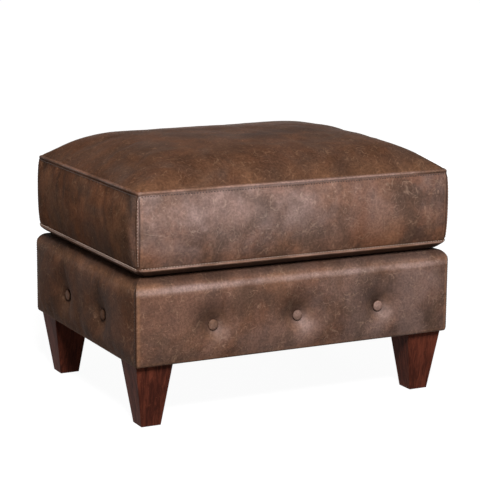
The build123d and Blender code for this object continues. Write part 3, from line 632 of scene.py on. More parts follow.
# Rows of the cover in millimetres: height from the seam, how far out, and whether a seam holds it.
WELT_ROWS = ((0.8, -4.0, 0), (1.0, -1.6, 0), (0.2, 0.0, 1), (-1.4, 0.6, 1), (-3.0, 0.4, 1),
             (-4.6, -0.6, 1), (-6.2, -0.9, 1), (-8.0, -0.4, 0), (-10.4, 0.3, 0), (-14.0, 0.8, 0))
FOOT_ROWS = ((6.5, 0.8, 0), (4.4, -0.5, 1), (2.9, -0.9, 1), (1.4, 0.5, 1), (-0.6, 1.5, 1),
             (-2.2, 1.0, 1), (-3.6, -0.6, 1), (-8.0, -5.2, 1), (-13.0, -13.4, 1))
ZIP_ROWS = (7.0, 5.0, 4.4, 0.0, -4.4, -5.0, -7.0)
BULGE, SIDE_BULGE = 3.5 * MM, 3.0 * MM
ZIP_SLOT_ENDS = (304 * MM, 312 * MM)
TUCK, CORNER_DROP, CORNER_LIFT, CORNER_WIDE = 3.2 * MM, 1.8 * MM, 2.5 * MM, 9 * MM


def crown_height(x, y, sizes):
    """How high the top panel stands over its edge at a place of the plan."""
    u = np.clip(np.abs(x) / (sizes.cushion_width / 2), 0, 1)
    w = 1 - np.clip(np.abs(y) / (sizes.cushion_depth / 2), 0, 1)
    rise = 0.58 * (1 - np.exp(-w / 0.06)) + 0.42 * (1 - (1 - w) ** 2.6)
    return sizes.crown * (1 - u ** 6) * rise


def cushion_rows(sizes):
    """The cushion's rows from the top panel's border down to the underside, as height, how far
    out, whether the row is held by a seam, and its share of the boxing's bulge."""
    high, low = sizes.seam_high, sizes.seam_low
    middle, half = (high + low) / 2, (high - low) / 2
    rows = [(high + z * MM, out * MM, held, None) for z, out, held in WELT_ROWS]
    for z in [*np.linspace(high - 19 * MM, middle + 12 * MM, 7), *[middle + z * MM for z in ZIP_ROWS],
              *np.linspace(middle - 12 * MM, low + 11 * MM, 7)]:
        bulge = 1 - ((z - middle) / half) ** 2
        rows.append((z, BULGE * bulge, 0, bulge))
    rows += [(low + z * MM, out * MM, held, None) for z, out, held in FOOT_ROWS]
    return [*rows, (sizes.cushion_floor, -24 * MM, 1, None)]


def cushion_shape(sizes):
    """The cushion's cover as points, faces, held points and each face's panel."""
    half_x, half_y = sizes.cushion_width / 2, sizes.cushion_depth / 2
    high, low = sizes.seam_high, sizes.seam_low
    zip_z = (high + low) / 2
    rows = cushion_rows(sizes)
    xs, ys, ring, sides, from_corner = cover_plan(half_x, half_y)
    gx, gy = (part.ravel() for part in np.meshgrid(xs, ys, indexing="ij"))
    in_x, in_y = half_x - np.abs(gx), half_y - np.abs(gy)
    px, py = plan_point(gx, gy, half_x, half_y, sizes.corner)
    pull = rows[0][1] * bell(np.minimum(in_x, in_y), 4 * MM)
    drawn = bell(np.maximum(in_x, in_y), CORNER_WIDE)
    px = px + np.sign(px) * (pull * (in_x < 12 * MM) - TUCK * drawn)
    py = py + np.sign(py) * (pull * (in_y < 12 * MM) - TUCK * drawn)
    blocks = [np.column_stack([px, py, rows[0][0] + crown_height(gx, gy, sizes) - drawn * CORNER_DROP])]
    deep = len(ys)
    faces = [(a, a + deep, a + deep + 1, a + 1) for start in range(0, (len(xs) - 1) * deep, deep)
             for a in range(start, start + deep - 1)]
    panels = [TOP] * len(faces)
    number_at = {(round(x, 6), round(y, 6)): number for number, (x, y) in enumerate(zip(gx, gy))}
    last = [number_at[round(x, 6), round(y, 6)] for x, y in ring]
    held, count, total = list(last), len(ring), len(px)
    rx, ry = ring.T
    on_long = np.isin(sides, (FRONT, REAR))
    side_bulge = SIDE_BULGE * (1 - np.where(on_long, rx / half_x, ry / half_y) ** 2)
    at_rear = np.abs(ry - half_y) < 1e-9
    in_slot = 1 - ease(np.abs(rx), *ZIP_SLOT_ENDS)
    seam = 0.5 * MM * bell(from_corner, 3 * MM) - 1.9 * MM * bell(from_corner - 4.6 * MM, 1.2 * MM)
    drawn = bell(from_corner, CORNER_WIDE)
    for z, out, kept, bulge in rows[1:]:
        outs = np.full(count, out)
        if bulge is not None:
            outs = outs + np.where(at_rear, 0.0, side_bulge * bulge)
            if abs(z - zip_z) < 4.6 * MM:
                outs = np.where(at_rear, outs + (1.0 * MM - outs) * in_slot, outs)
            outs = outs + seam
        level = min(1.0, abs(z - zip_z) / (high - zip_z))
        outs = outs - (TUCK * level ** 3 + 0.6 * max(out, 0.0)) * drawn
        radius = sizes.corner + 16 * MM * ease(low - z, 0, 10 * MM)
        drop = CORNER_DROP * ease(z, high - 20 * MM, high)
        lift = CORNER_LIFT * (1 - ease(z, low, low + 20 * MM)) * (z > sizes.cushion_floor)
        blocks.append(np.column_stack([*plan_point(rx, ry, half_x, half_y, radius, outs),
                                       z + drawn * (lift - drop)]))
        here = list(range(total, total + count))
        faces += band(last, here)
        if z > high - 8 * MM:
            panels += [TOP] * count
        else:
            panels += [BOTTOM] * count if z < low - 1 * MM else sides
        if kept:
            held += here
        elif bulge is not None:
            held += [here[k] for k in range(count) if from_corner[k] < 12 * MM
                     or (at_rear[k] and abs(z - zip_z) < 8 * MM)]
        last = here
        total += count
    return np.vstack(blocks), faces, held, panels


def close_underside(piece):
    """Fills the opening under the cushion with one flat face, where it rests on the deck."""
    pick(piece)
    bpy.ops.object.mode_set(mode="EDIT")
    bpy.ops.mesh.select_mode(type="EDGE")
    bpy.ops.mesh.select_all(action="DESELECT")
    bpy.ops.mesh.select_non_manifold(extend=False)
    bpy.ops.mesh.edge_face_add()
    bpy.ops.mesh.select_mode(type="VERT")
    bpy.ops.object.mode_set(mode="OBJECT")


def pucker_cushion(piece, sizes):
    """Adds the gathers along the seams and the soft unevenness of the stuffing."""
    places, x, y, z, edge_x, edge_y = lay_out(piece, sizes.cushion_width, sizes.cushion_depth)
    short = edge_x < edge_y
    along = np.where(short, y + 3.0, x)
    inward = np.maximum(np.minimum(edge_x, edge_y), 0)
    below, above = sizes.seam_high - 9 * MM - z, z - sizes.seam_low - 4 * MM
    zip_z = (sizes.seam_high + sizes.seam_low) / 2
    at_zip = (np.abs(z - zip_z) < 18 * MM) & (y > 0) & (edge_y < 10 * MM)
    boxing = (below > 0) & (above > 0) & ~at_zip
    slant = along + np.where(short, 0.5, 0.2) * (z - sizes.seam_high)
    gather = np.where(short, 1.1, 0.6) * MM * ripple(slant, 21 * MM, 0.4) * fade(below, 15 * MM)
    gather += 0.45 * MM * ripple(along, 19 * MM, 2.1) * fade(above, 12 * MM)
    top_gather = 0.6 * MM * ripple(along, 27 * MM, 1.3) * fade(inward, 18 * MM)
    top_gather = top_gather * ease(inward, 2 * MM, 9 * MM)
    slow, fast = rumple(places, 11.0, 0.3), rumple(places, 34.0, 4.0)
    calm = ease(np.maximum(edge_x, edge_y), 8 * MM, 40 * MM)
    between = ease(below, 0, 12 * MM) ** 0.5 * ease(above, 0, 12 * MM) ** 0.5
    side_move = (gather + slow * 1.3 * MM + fast * 0.35 * MM) * calm * between + gather * calm * 0.4
    top_move = top_gather + (slow * 2.2 * MM + fast * 0.5 * MM) * ease(inward, 10 * MM, 60 * MM)
    move = np.where(z > sizes.seam_high + 4 * MM, top_move, np.where(boxing, side_move, 0.0))
    write_points(piece, places + read_normals(piece) * move[:, None])


def cushion_wear(piece, sizes):
    """Marks where the cushion's leather is rubbed lighter, dirty or waxy, and its tone, with painted
    shade in its grooves and under it, painted sheen on its faces and welts, and its top painted darker.
    """
    places, x, y, z, edge_x, edge_y = lay_out(piece, sizes.cushion_width, sizes.cushion_depth)
    high, low = sizes.seam_high, sizes.seam_low
    outer, inner = np.minimum(edge_x, edge_y), np.maximum(edge_x, edge_y)
    short, on_top = edge_x < edge_y, z > high + 1 * MM
    boxing = (z < high - 7 * MM) & (z > low + 3 * MM)
    patches = rumple(places, 14.0, 9.0)
    welt = bell(z - high + 1.5 * MM, 2.2 * MM) * (outer < 5 * MM) * np.where(short, 0.5, 1.0)
    low_welt = bell(z - low - 0.3 * MM, 1.8 * MM) * (outer < 3 * MM)
    corner = bell(edge_x - 8.5 * MM, 3 * MM) * boxing * (np.abs(edge_y) < 8 * MM)
    behind = on_top * fade(outer, 32 * MM) * np.clip(0.18 + 1.7 * patches, 0, 1)
    wear = [0.4 * welt, 0.45 * low_welt, 0.25 * corner, 0.45 * behind]
    mark(piece, "wear", np.clip(np.maximum.reduce(wear), 0, 1))
    # Painted shade: a dark line in the groove under the upper welt, a thin dark line above the lower
    # stitches, and the belly under the lower seam darkened as in shadow. The corner seams are dark joints
    # and the top's patches are dirt.
    line = bell(z - high + 6.2 * MM, 1.2 * MM) * (outer < 6 * MM)
    low_seam_shade = bell(z - low - 3.2 * MM, 1.8 * MM) * (outer < 6 * MM)
    belly_shade = ease(low - 1 * MM - z, 0, 5 * MM)
    join = bell(inner - 4.6 * MM, 1.1 * MM) * boxing
    seat = 0.55 * bell(np.hypot((x - 0.02) / 2.2, y + 0.02), 0.085) + 0.1
    faded = np.clip(0.5 + 1.6 * patches, 0, 1) * seat * on_top
    grime = [0.3 * line, 0.55 * low_seam_shade, 0.75 * belly_shade, 0.85 * join, faded]
    mark(piece, "grime", np.maximum.reduce(grime))
    # Painted sheen: set per side, most on the front's left and least on the left side and the top, rising
    # up the boxing, with a painted highlight patch high on the front, a painted reflection near the front
    # of each short side, and painted highlights along both welts.
    to_right = np.clip(x / (sizes.cushion_width / 2), -1, 1)
    side = by_side(x, y, edge_x, edge_y, 0.8 - 0.35 * to_right, 0.55, 0.5, 0.04)
    side = side * (0.25 + 0.75 * ease(np.clip((z - low) / (high - low), 0, 1), 0.05, 0.6))
    side = side + 0.8 * bell(np.hypot((x + 0.12) / 1.9, z - 0.425), 0.06) * (y < 0) * (edge_y < edge_x)
    side = side + 0.3 * bell(edge_y - 12 * MM, 12 * MM) * short * (y < 0)
    mark(piece, "bloom", np.maximum(np.where(z > high, 0.05, side), 1.1 * np.maximum(welt, low_welt)))
    # Painted shade: the top panel's clouds are kept much darker than the sides'.
    mark(piece, "tone", np.where(on_top, 0.27, 0.85))


class OTTOMAN_OT_cushion(Operator):
    """Makes the cushion's cover: crowned top, welted seams, boxing and underside."""
    bl_idname = "ottoman.cushion"
    bl_label = "Cushion cover"

    def execute(self, context):
        sizes = context.scene.ottoman_sizes
        points, faces, held, panels = cushion_shape(sizes)
        piece = mesh_piece("cushion_cover", points, faces)
        mark(piece, "panel", panels, "FACE")
        stuff(piece, held, 3.0, sizes.puff)
        refine(piece)
        close_underside(piece)
        pucker_cushion(piece, sizes)
        cushion_wear(piece, sizes)
        dress(piece, make_materials()["worn brown leather"],
              replaces=("cushion_top_leather", "cushion_bottom_leather", "cushion_front_boxing",
                        "cushion_left_boxing", "cushion_right_boxing", "cushion_rear_boxing_upper",
                        "cushion_rear_boxing_lower", "cushion_wrap"))
        return {"FINISHED"}


# ---- base

BUTTON_XS = (-0.185, 0.0, 0.185)
BUTTON_YS = (-0.0935, 0.0935)
BUTTON_Z = 0.1965
BUTTON_SEAT = -8.5 * MM
FOOT_ROLL = 7 * MM
# Folds of the short sides: which side, place along it, length, bend.
FOLDS = ((-1, 0.15, 0.045, 5.0), (-1, 0.045, 0.055, 4.0), (-1, -0.11, 0.035, 6.0), (1, 0.08, 0.05, -4.0),
         (1, -0.13, 0.04, -6.0))


def tuft_depth(distance, bearing, swell):
    """How far a tuft draws the face in, at a distance from its button."""
    t = np.clip((distance - 10 * MM) / (60 * MM), 0, 1)
    crease = 0.7 * MM * np.cos(8 * bearing + 2.1 * np.sin(2 * bearing)) * bell(t - 0.2, 0.22)
    return (1 - t) ** 2.4 * (BUTTON_SEAT - swell) + crease


def base_out(along, z, half, sizes, buttons):
    """How far the base's face stands out at a place along a side."""
    foot, top = sizes.base_foot + FOOT_ROLL, sizes.base_top - sizes.base_roll
    h = np.clip((z - foot) / (top - foot), 0, 1) * 2 - 1
    swell = 6.5 * MM * (1 - np.clip(np.abs(along) / half, 0, 1) ** 6) * np.clip(1 - h ** 4, 0, 1)
    out = swell
    for centre in buttons:
        across, up = along - centre, z - BUTTON_Z
        out = out + tuft_depth(np.hypot(across, up), np.arctan2(up, across), swell)
    return out


def base_rows(sizes):
    """The base cover's rows, from the lining up over the roll and down to the turned-under edge,
    as height, how far out, kind and whether it is held."""
    roll, top, foot = sizes.base_roll, sizes.base_top, sizes.base_foot
    rows = [(top - 19.7 * MM, -36 * MM, "in", 1), (top, -36 * MM, "in", 1), (top, -30 * MM, "in", 1)]
    for step in range(8):
        bearing = math.pi / 2 * (1 - step / 7)
        rows.append((top - roll * (1 - math.sin(bearing)), roll * (math.cos(bearing) - 1),
                     "roll", step < 2))
    rows += [(z, 0.0, "face", 0) for z in np.linspace(top - roll, foot + FOOT_ROLL, 17)[1:-1]]
    for step in range(4):
        bearing = math.pi / 2 * step / 3
        rows.append((foot + FOOT_ROLL * (1 - math.sin(bearing)), FOOT_ROLL * (math.cos(bearing) - 1),
                     "foot", 1))
    under = foot + 1.75 * MM
    return rows + [(foot, -20 * MM, "in", 1), (foot, -36 * MM, "in", 1), (under, -36 * MM, "in", 1),
                   (under, -26.7 * MM, "in", 1), (top - 19.7 * MM, -26.7 * MM, "in", 1)]


def base_shape(sizes):
    """The base's cover as points, faces, held points and each face's panel."""
    half_x, half_y, roll = sizes.base_width / 2, sizes.base_depth / 2, sizes.base_roll
    _, _, ring, sides, from_corner = cover_plan(half_x, half_y)
    rx, ry = ring.T
    on_long = np.isclose(np.abs(ry), half_y)
    count, rows = len(ring), base_rows(sizes)
    blocks, faces, held = [], [], []
    for index, (z, out, kind, kept) in enumerate(rows):
        outs, heights = np.full(count, out), np.full(count, z)
        if kind != "in":
            bulge = 1.0 if kind == "face" else 0.0
            if kind == "roll":
                bulge = 1 - min(1.0, (z - (sizes.base_top - roll)) / (0.9 * roll))
            swell = np.where(on_long, base_out(rx, heights, half_x, sizes, BUTTON_XS),
                             base_out(ry, heights, half_y, sizes, BUTTON_YS))
            outs = outs + swell * bulge * ease(from_corner, 0, 12 * MM)
            if kind != "roll" or z < sizes.base_top - 4 * MM:
                outs = outs - 1.3 * MM * bell(from_corner, 1.3 * MM)
        spots = plan_point(rx, ry, half_x, half_y, sizes.base_corner, outs)
        blocks.append(np.column_stack([*spots, heights]))
        here = list(range(index * count, (index + 1) * count))
        if kept:
            held += here
        elif kind == "face":
            for k in range(count):
                centres, place = (BUTTON_XS, rx[k]) if on_long[k] else (BUTTON_YS, ry[k])
                close = min(math.hypot(place - centre, z - BUTTON_Z) for centre in centres)
                if from_corner[k] < 10 * MM or close < 12 * MM:
                    held.append(here[k])
        start = (index + 1) % len(rows) * count
        faces += band(here, list(range(start, start + count)))
    return np.vstack(blocks), faces, held, [side + BASE_PANELS for side in sides] * len(rows)


def pucker_base(piece, sizes):
    """Adds soft unevenness and the gathers along the corners and the roll."""
    places, x, y, z, edge_x, edge_y = lay_out(piece, sizes.base_width, sizes.base_depth)
    inner, down, foot = np.maximum(edge_x, edge_y), sizes.base_top - z, sizes.base_foot
    shown = (np.minimum(edge_x, edge_y) < 15 * MM) & (z > foot + 5 * MM)
    slow, fast = rumple(places, 13.0, 6.0), rumple(places, 38.0, 2.0)
    corner = 0.5 * MM * ripple(z, 21 * MM, 0.7) * fade(inner, 22 * MM)
    folds = np.zeros(len(places))
    for side, at, drop, bend in FOLDS:
        off = y - at - bend * down ** 2
        here = (np.sign(x) == side) * (edge_x < 15 * MM) * (inner > 20 * MM)
        run = ease(down, 2 * MM, 12 * MM) * (1 - ease(down, drop, drop + 25 * MM))
        folds += 1.5 * MM * (bell(off, 4 * MM) - bell(off - 7 * MM, 5 * MM)) * run * here
    calm = ease(inner, 3 * MM, 25 * MM) * ease(z, foot + 5 * MM, foot + 25 * MM)
    move = folds + (slow * 1.1 * MM + fast * 0.35 * MM) * calm + corner * ease(inner, 2 * MM, 8 * MM)
    write_points(piece, places + read_normals(piece) * np.where(shown, move, 0.0)[:, None])


def base_wear(piece, sizes):
    """Marks where the base's leather is rubbed lighter, dirty or waxy, and its tone, with painted shade
    round the tufts and under the cushion, and painted sheen on its faces, below the tufts and along the
    top roll.
    """
    places, x, y, z, edge_x, edge_y = lay_out(piece, sizes.base_width, sizes.base_depth)
    inner, long_side, top = np.maximum(edge_x, edge_y), edge_y < edge_x, sizes.base_top
    along, up = np.where(long_side, x, y), z - BUTTON_Z
    patches = rumple(places, 12.0, 3.0)
    # Painted shade at the tufts: darkening round each button's seat and a lobe above it, shifted a little
    # along the side, where the hollow faces down. The ring further out is rubbed lighter.
    rim = tuft_grime_and_shade = np.zeros(len(places))
    for on_long, centres in ((True, BUTTON_XS), (False, BUTTON_YS)):
        here = long_side == on_long
        for centre in centres:
            across = along - centre
            distance = np.hypot(across, up)
            shade = bell(np.hypot((across + 8 * MM) / 1.25, up - 22 * MM), 32 * MM)
            shade = shade * (0.65 if on_long else 0.39)
            rim = np.maximum(rim, bell(distance - 24 * MM, 9 * MM) * here)
            tuft_grime_and_shade = np.maximum(tuft_grime_and_shade, np.maximum(0.8 * bell(distance, 11.5 * MM), shade) * here)
    roll = bell(z - (top - 20 * MM), 12 * MM) * np.clip(0.55 + 0.8 * patches, 0, 1)
    corner = bell(inner - 6 * MM, 3 * MM) * long_side
    foot = bell(z - sizes.base_foot - 3 * MM, 5 * MM)
    wear = [0.5 * roll, 0.6 * corner, 0.35 * foot, 0.28 * rim]
    mark(piece, "wear", np.clip(np.maximum.reduce(wear), 0, 1))
    join = bell(inner - 2.4 * MM, 1.3 * MM) * (edge_x < edge_y + 1.5 * MM) * (z < top - 14 * MM)
    # Painted shade on the base's top, just under the cushion's overhang.
    deck = ease(z, top - 20 * MM, top - 6 * MM)
    mark(piece, "grime", np.maximum.reduce([0.8 * join, 0.6 * deck, tuft_grime_and_shade]))
    mark(piece, "tone", np.full(len(places), 0.52))
    # Painted sheen: set per side, with a painted highlight below and to the right (+X) of each front and
    # rear tuft.
    to_right = np.clip(x / (sizes.base_width / 2), -1, 1)
    side = by_side(x, y, edge_x, edge_y, 0.36 + 0.17 * to_right, 0.3, 0.3, 0.12)
    for centre in BUTTON_XS:
        side = side + 0.9 * bell(np.hypot(x - centre - 14 * MM, up + 16 * MM), 16 * MM) * long_side
    # Painted highlight along the top roll, strongest on the front.
    edge = by_side(x, y, edge_x, edge_y, 1.25, 0.7, 0.7, 0.2) * bell(z - (top - 25 * MM), 7 * MM)
    mark(piece, "bloom", np.maximum(side, edge))


class OTTOMAN_OT_base(Operator):
    """Makes the base's cover: four sewn sides with a padded top roll and tufts."""
    bl_idname = "ottoman.base"
    bl_label = "Base cover"

    def execute(self, context):
        sizes = context.scene.ottoman_sizes
        points, faces, held, panels = base_shape(sizes)
        piece = mesh_piece("base_cover", points, faces)
        mark(piece, "panel", panels, "FACE")
        stuff(piece, held, 1.5, sizes.puff * 0.6)
        refine(piece)
        pucker_base(piece, sizes)
        base_wear(piece, sizes)
        dress(piece, make_materials()["worn brown leather"],
              replaces=("base_front_leather", "base_rear_leather", "base_left_leather",
                        "base_right_leather", "base_front_foam", "base_rear_foam", "base_left_foam",
                        "base_right_foam"))
        return {"FINISHED"}


# ---- stitches and buttons

def one_stitch(long, thick):
    """One stitch along X, its ends sunk, as the points and faces of a small bead."""
    clear_selection()
    bpy.ops.mesh.primitive_uv_sphere_add(segments=6, ring_count=5, radius=1.0,
                                         rotation=(0, math.pi / 2, 0))
    bead = bpy.context.object
    bpy.ops.object.mode_set(mode="EDIT")
    bpy.ops.transform.resize(value=(long / 2, thick / 2, thick / 2))
    bpy.ops.object.mode_set(mode="OBJECT")
    bpy.ops.object.transform_apply(location=True, rotation=True, scale=True)
    points = read_points(bead)
    points[:, 2] -= (points[:, 0] / (long / 2)) ** 2 * thick * 0.45
    faces = [tuple(face.vertices) for face in bead.data.polygons]
    bpy.data.objects.remove(bead)
    return points, faces


def sew(name, spots, piece, size, material):
    """Copies one stitch to each spot, lying on the piece's surface along its direction. Its size
    is its length, thickness and lift in millimetres."""
    long, thick, lift = (part * MM for part in size)
    points, faces = one_stitch(long, thick)
    surface = BVHTree.FromPolygons([vertex.co for vertex in piece.data.vertices],
                                   [tuple(face.vertices) for face in piece.data.polygons])
    all_points, all_faces = [], []
    for spot, direction in spots:
        place, normal, _, _ = surface.find_nearest(Vector(spot))
        if place is None:
            raise RuntimeError(f"{name}: no surface near {spot}")
        along = Vector(direction).normalized()
        across = normal.cross(along).normalized()
        turn = np.array([along, across, along.cross(across)]).T
        start = len(all_points) * len(points)
        all_points.append(points @ turn.T + np.array(place + normal * lift))
        all_faces += [tuple(start + index for index in face) for face in faces]
    made = mesh_piece(name, np.vstack(all_points), all_faces)
    smooth(made)
    dress(made, material)


def round_spots(half_x, half_y, radius, out, z, pitch):
    """Even spots round a round-cornered plan, with the direction at each."""
    ring, _ = border(np.linspace(-half_x, half_x, 400), np.linspace(-half_y, half_y, 300))
    path = np.column_stack(plan_point(ring[:, 0], ring[:, 1], half_x, half_y, radius, out))
    path = np.vstack([path, path[:1]])
    run = np.concatenate([[0], np.cumsum(np.linalg.norm(np.diff(path, axis=0), axis=1))])
    count = round(run[-1] / pitch)
    at = (np.arange(count) + 0.5) * run[-1] / count
    x, y = np.interp(at, run, path[:, 0]), np.interp(at, run, path[:, 1])
    ahead = (at + 0.5 * MM) % run[-1]
    dx, dy = np.interp(ahead, run, path[:, 0]) - x, np.interp(ahead, run, path[:, 1]) - y
    return [((a, b, z), (c, d, 0.0)) for a, b, c, d in zip(x, y, dx, dy)
            if max(half_x - abs(a), half_y - abs(b)) > 6 * MM]


def corner_spots(out_x, out_y, low, high, pitch):
    """Even spots up the four corners."""
    return [((sx * out_x, sy * out_y, z), (0, 0, 1)) for sx in (-1, 1) for sy in (-1, 1)
            for z in np.arange(low, high, pitch)]


class OTTOMAN_OT_stitches(Operator):
    """Sews the visible seams of the cushion and the base's corners."""
    bl_idname = "ottoman.stitches"
    bl_label = "Seam stitches"

    def execute(self, context):
        sizes = context.scene.ottoman_sizes
        dark, pale = (make_materials()[name] for name in ("dark seam thread", "pale seam thread"))
        cushion, base = bpy.data.objects["cushion_cover"], bpy.data.objects["base_cover"]
        half_x, half_y, pitch = sizes.cushion_width / 2, sizes.cushion_depth / 2, sizes.stitch_pitch
        low, high = sizes.seam_low, sizes.seam_high
        sew("upper_seam_stitches",
            round_spots(half_x, half_y, sizes.corner, -0.9 * MM, high - 8.2 * MM, pitch),
            cushion, (3.4, 1.9, 0.5), dark)
        sew("lower_seam_stitches",
            round_spots(half_x, half_y, sizes.corner, -0.3 * MM, low + 2.6 * MM, pitch),
            cushion, (3.4, 2.1, 0.9), pale)
        sew("boxing_corner_stitches",
            corner_spots(half_x + 4 * MM, half_y + 4 * MM, low + 8 * MM, high - 11 * MM, pitch),
            cushion, (3.6, 1.2, 0.2), pale)
        sew("base_corner_stitches",
            corner_spots(sizes.base_width / 2 + 3 * MM, sizes.base_depth / 2 - 3 * MM,
                         sizes.base_foot + 10 * MM, sizes.base_top - 12 * MM, pitch * 0.8),
            base, (3.2, 1.3, 0.2), dark)
        return {"FINISHED"}


def one_button(radius, height):
    """A leather-covered button facing +Z, drawn in with small pleats round its rim."""
    clear_selection()
    bpy.ops.mesh.primitive_uv_sphere_add(segments=48, ring_count=24, radius=radius)
    button = bpy.context.object
    bpy.ops.object.mode_set(mode="EDIT")
    bpy.ops.mesh.select_all(action="SELECT")
    bpy.ops.mesh.bisect(plane_co=(0, 0, -radius * 0.62), plane_no=(0, 0, 1), use_fill=True,
                        clear_inner=True)
    bpy.ops.object.mode_set(mode="OBJECT")
    x, y, z = read_points(button).T
    bearing = np.arctan2(y, x)
    dome = height * (0.42 + 0.58 * np.clip(z / radius, 0, 1) ** 0.8) + 0.42 * np.minimum(z, 0)
    pleat = 0.22 * MM * np.cos(16 * bearing + 1.3 * np.sin(3 * bearing))
    pleat = pleat * bell(z + radius * 0.12, radius * 0.3)
    grow = 1 + pleat / np.maximum(np.hypot(x, y), TINY)
    write_points(button, np.column_stack([x * grow, y * grow, dome]))
    smooth(button)
    return button


def copy_to(model, name, matrices):
    """One piece made of copies of a model, each placed by its matrix."""
    copies = []
    for matrix in matrices:
        copy = bpy.data.objects.new(name, model.data.copy())
        copy.data.transform(matrix)
        bpy.context.scene.collection.objects.link(copy)
        copies.append(copy)
    pick(*copies)
    bpy.ops.object.join()
    joined = bpy.context.object
    joined.name = name
    clear_selection()
    return joined


class OTTOMAN_OT_buttons(Operator):
    """Makes the leather-covered buttons of the four sides."""
    bl_idname = "ottoman.buttons"
    bl_label = "Covered buttons"

    def execute(self, context):
        sizes = context.scene.ottoman_sizes
        material = make_materials()["button leather"]
        button = one_button(sizes.button_radius, 7.4 * MM)
        half_x, half_y = sizes.base_width / 2 + BUTTON_SEAT, sizes.base_depth / 2 + BUTTON_SEAT
        right = math.pi / 2
        # Each side's turn from +Z and its axis, its buttons' places, and how much waxy gloss and painted
        # sheen they get, least on the left.
        sides = {
            "front_buttons": (right, "X", [(x, -half_y) for x in BUTTON_XS], 1.1),
            "rear_buttons": (-right, "X", [(x, half_y) for x in BUTTON_XS], 1.1),
            "left_buttons": (-right, "Y", [(-half_x, y) for y in BUTTON_YS], 0.33),
            "right_buttons": (right, "Y", [(half_x, y) for y in BUTTON_YS], 1.1),
        }
        for number, (node_name, (tilt, axis, spots, wax_and_sheen)) in enumerate(sides.items()):
            turn = Matrix.Rotation(tilt, 4, axis)
            matrices = [Matrix.Translation((x, y, BUTTON_Z)) @ turn
                        @ Matrix.Rotation(0.9 * index, 4, "Z") for index, (x, y) in enumerate(spots)]
            made = copy_to(button, "covered_" + node_name, matrices)
            mark(made, "panel", [BUTTON_PANELS + number] * len(made.data.polygons), "FACE")
            crown = read_normals(made) @ np.array(turn.to_3x3() @ Vector((0, 0, 1)))
            mark(made, "wear", np.clip(crown, 0, 1) ** 3 * 0.35)
            # Painted shade round each button's rim where the dome turns under, and painted sheen on its
            # crown.
            mark(made, "grime", 0.85 * (1 - ease(crown, 0.1, 0.65)))
            mark(made, "bloom", np.clip(crown, 0, 1) ** 2 * wax_and_sheen)
            mark(made, "tone", np.full(len(crown), 0.8))
            dress(made, material, replaces=(node_name,))
        bpy.data.objects.remove(button)
        return {"FINISHED"}


# ---- zip

TOOTH_PITCH = 2.6 * MM
TOOTH_WIDE, TOOTH_HIGH, TOOTH_BEVEL = 1.5 * MM, 3.6 * MM, 0.35 * MM
TOOTH_SHIFT = 1.15 * MM


class OTTOMAN_OT_zip(Operator):
    """Makes the toothed chain of the cushion's zip."""
    bl_idname = "ottoman.zip"
    bl_label = "Zip teeth"

    def execute(self, context):
        low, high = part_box("zip_chain")
        middle = (low + high) / 2
        clear_selection()
        bpy.ops.mesh.primitive_cube_add(size=1.0)
        tooth = bpy.context.object
        bpy.ops.object.mode_set(mode="EDIT")
        bpy.ops.transform.resize(value=(TOOTH_WIDE, high.y - low.y, TOOTH_HIGH))
        bpy.ops.mesh.bevel(offset=TOOTH_BEVEL, segments=1)
        bpy.ops.object.mode_set(mode="OBJECT")
        count = int((high.x - low.x) / TOOTH_PITCH)
        start = middle.x - (count - 1) * TOOTH_PITCH / 2
        chain = copy_to(tooth, "zip_teeth", [
            Matrix.Translation((start + index * TOOTH_PITCH, middle.y,
                                middle.z + (TOOTH_SHIFT if index % 2 else -TOOTH_SHIFT)))
            for index in range(count)])
        bpy.data.objects.remove(tooth)
        dress(chain, make_materials()["zip teeth"], replaces=("zip_chain",))
        return {"FINISHED"}


# ---- nodes that stay, stage, panel

KEPT_NODES = {
    "stained leg wood": ("leg_front_left", "leg_front_right", "leg_rear_left", "leg_rear_right"),
    "frame wood": ("front_rail", "rear_rail", "left_rail", "right_rail", "centre_brace", "corner_blocks"),
    "cut foam": ("deck_foam", "cushion_core"),
    "spring felt": ("spring_cover",),
    "deck cloth": ("deck_cloth",),
    "dust cover cloth": ("dust_cover",),
    "waxed twine": ("tufting_twines", "cushion_tie_tapes"),
    "toggle plastic": ("twine_toggles", "leg_glides"),
    "zip tape": ("zip_tapes",),
    "antique zip metal": ("zip_stops", "zip_slider", "zip_pull"),
    "zinc plated steel": ("rail_screws", "block_screws", "plate_screws", "leg_bolts", "leg_plates",
                          "sinuous_springs", "spring_clips", "spring_tie_wires", "dust_cover_staples"),
}


class OTTOMAN_OT_finishes(Operator):
    """Gives the nodes that stay as they are their finishes."""
    bl_idname = "ottoman.finishes"
    bl_label = "Finishes of the frame"

    def execute(self, context):
        materials = make_materials()
        for material, names in KEPT_NODES.items():
            for name in names:
                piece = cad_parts[name]
                if not piece.material_slots:
                    piece.data.materials.append(materials[material])
                for place in piece.material_slots:
                    place.material = materials[material]
        return {"FINISHED"}


WHITE = (1.0, 1.0, 1.0, 1.0)
FLOOR_SIZE, SENSOR_WIDTH, FAR_CLIP = 60.0, 36.0, 100.0
LAMP_AIM = (0, 0, 0.3)
# Each softbox: its place, width, height and power's name.
SOFTBOXES = {"key_softbox": ((-1.0, -2.5, 2.65), 0.9, 0.9, "key"),
             "rear_softbox": ((1.6, 2.9, 0.40), 1.4, 0.7, "back"),
             "low_softbox": ((1.35, -3.3, 0.9), 1.4, 1.2, "fill")}


def seen_directly(graph):
    """1 for a ray from the camera, or one that a gloss or a clear piece sends, and 0 for the rest."""
    rays = graph.add("LightPath").outputs
    seen = graph.math("MAXIMUM", rays["Is Camera Ray"], rays["Is Transmission Ray"])
    return graph.math("MAXIMUM", seen, rays["Is Glossy Ray"])


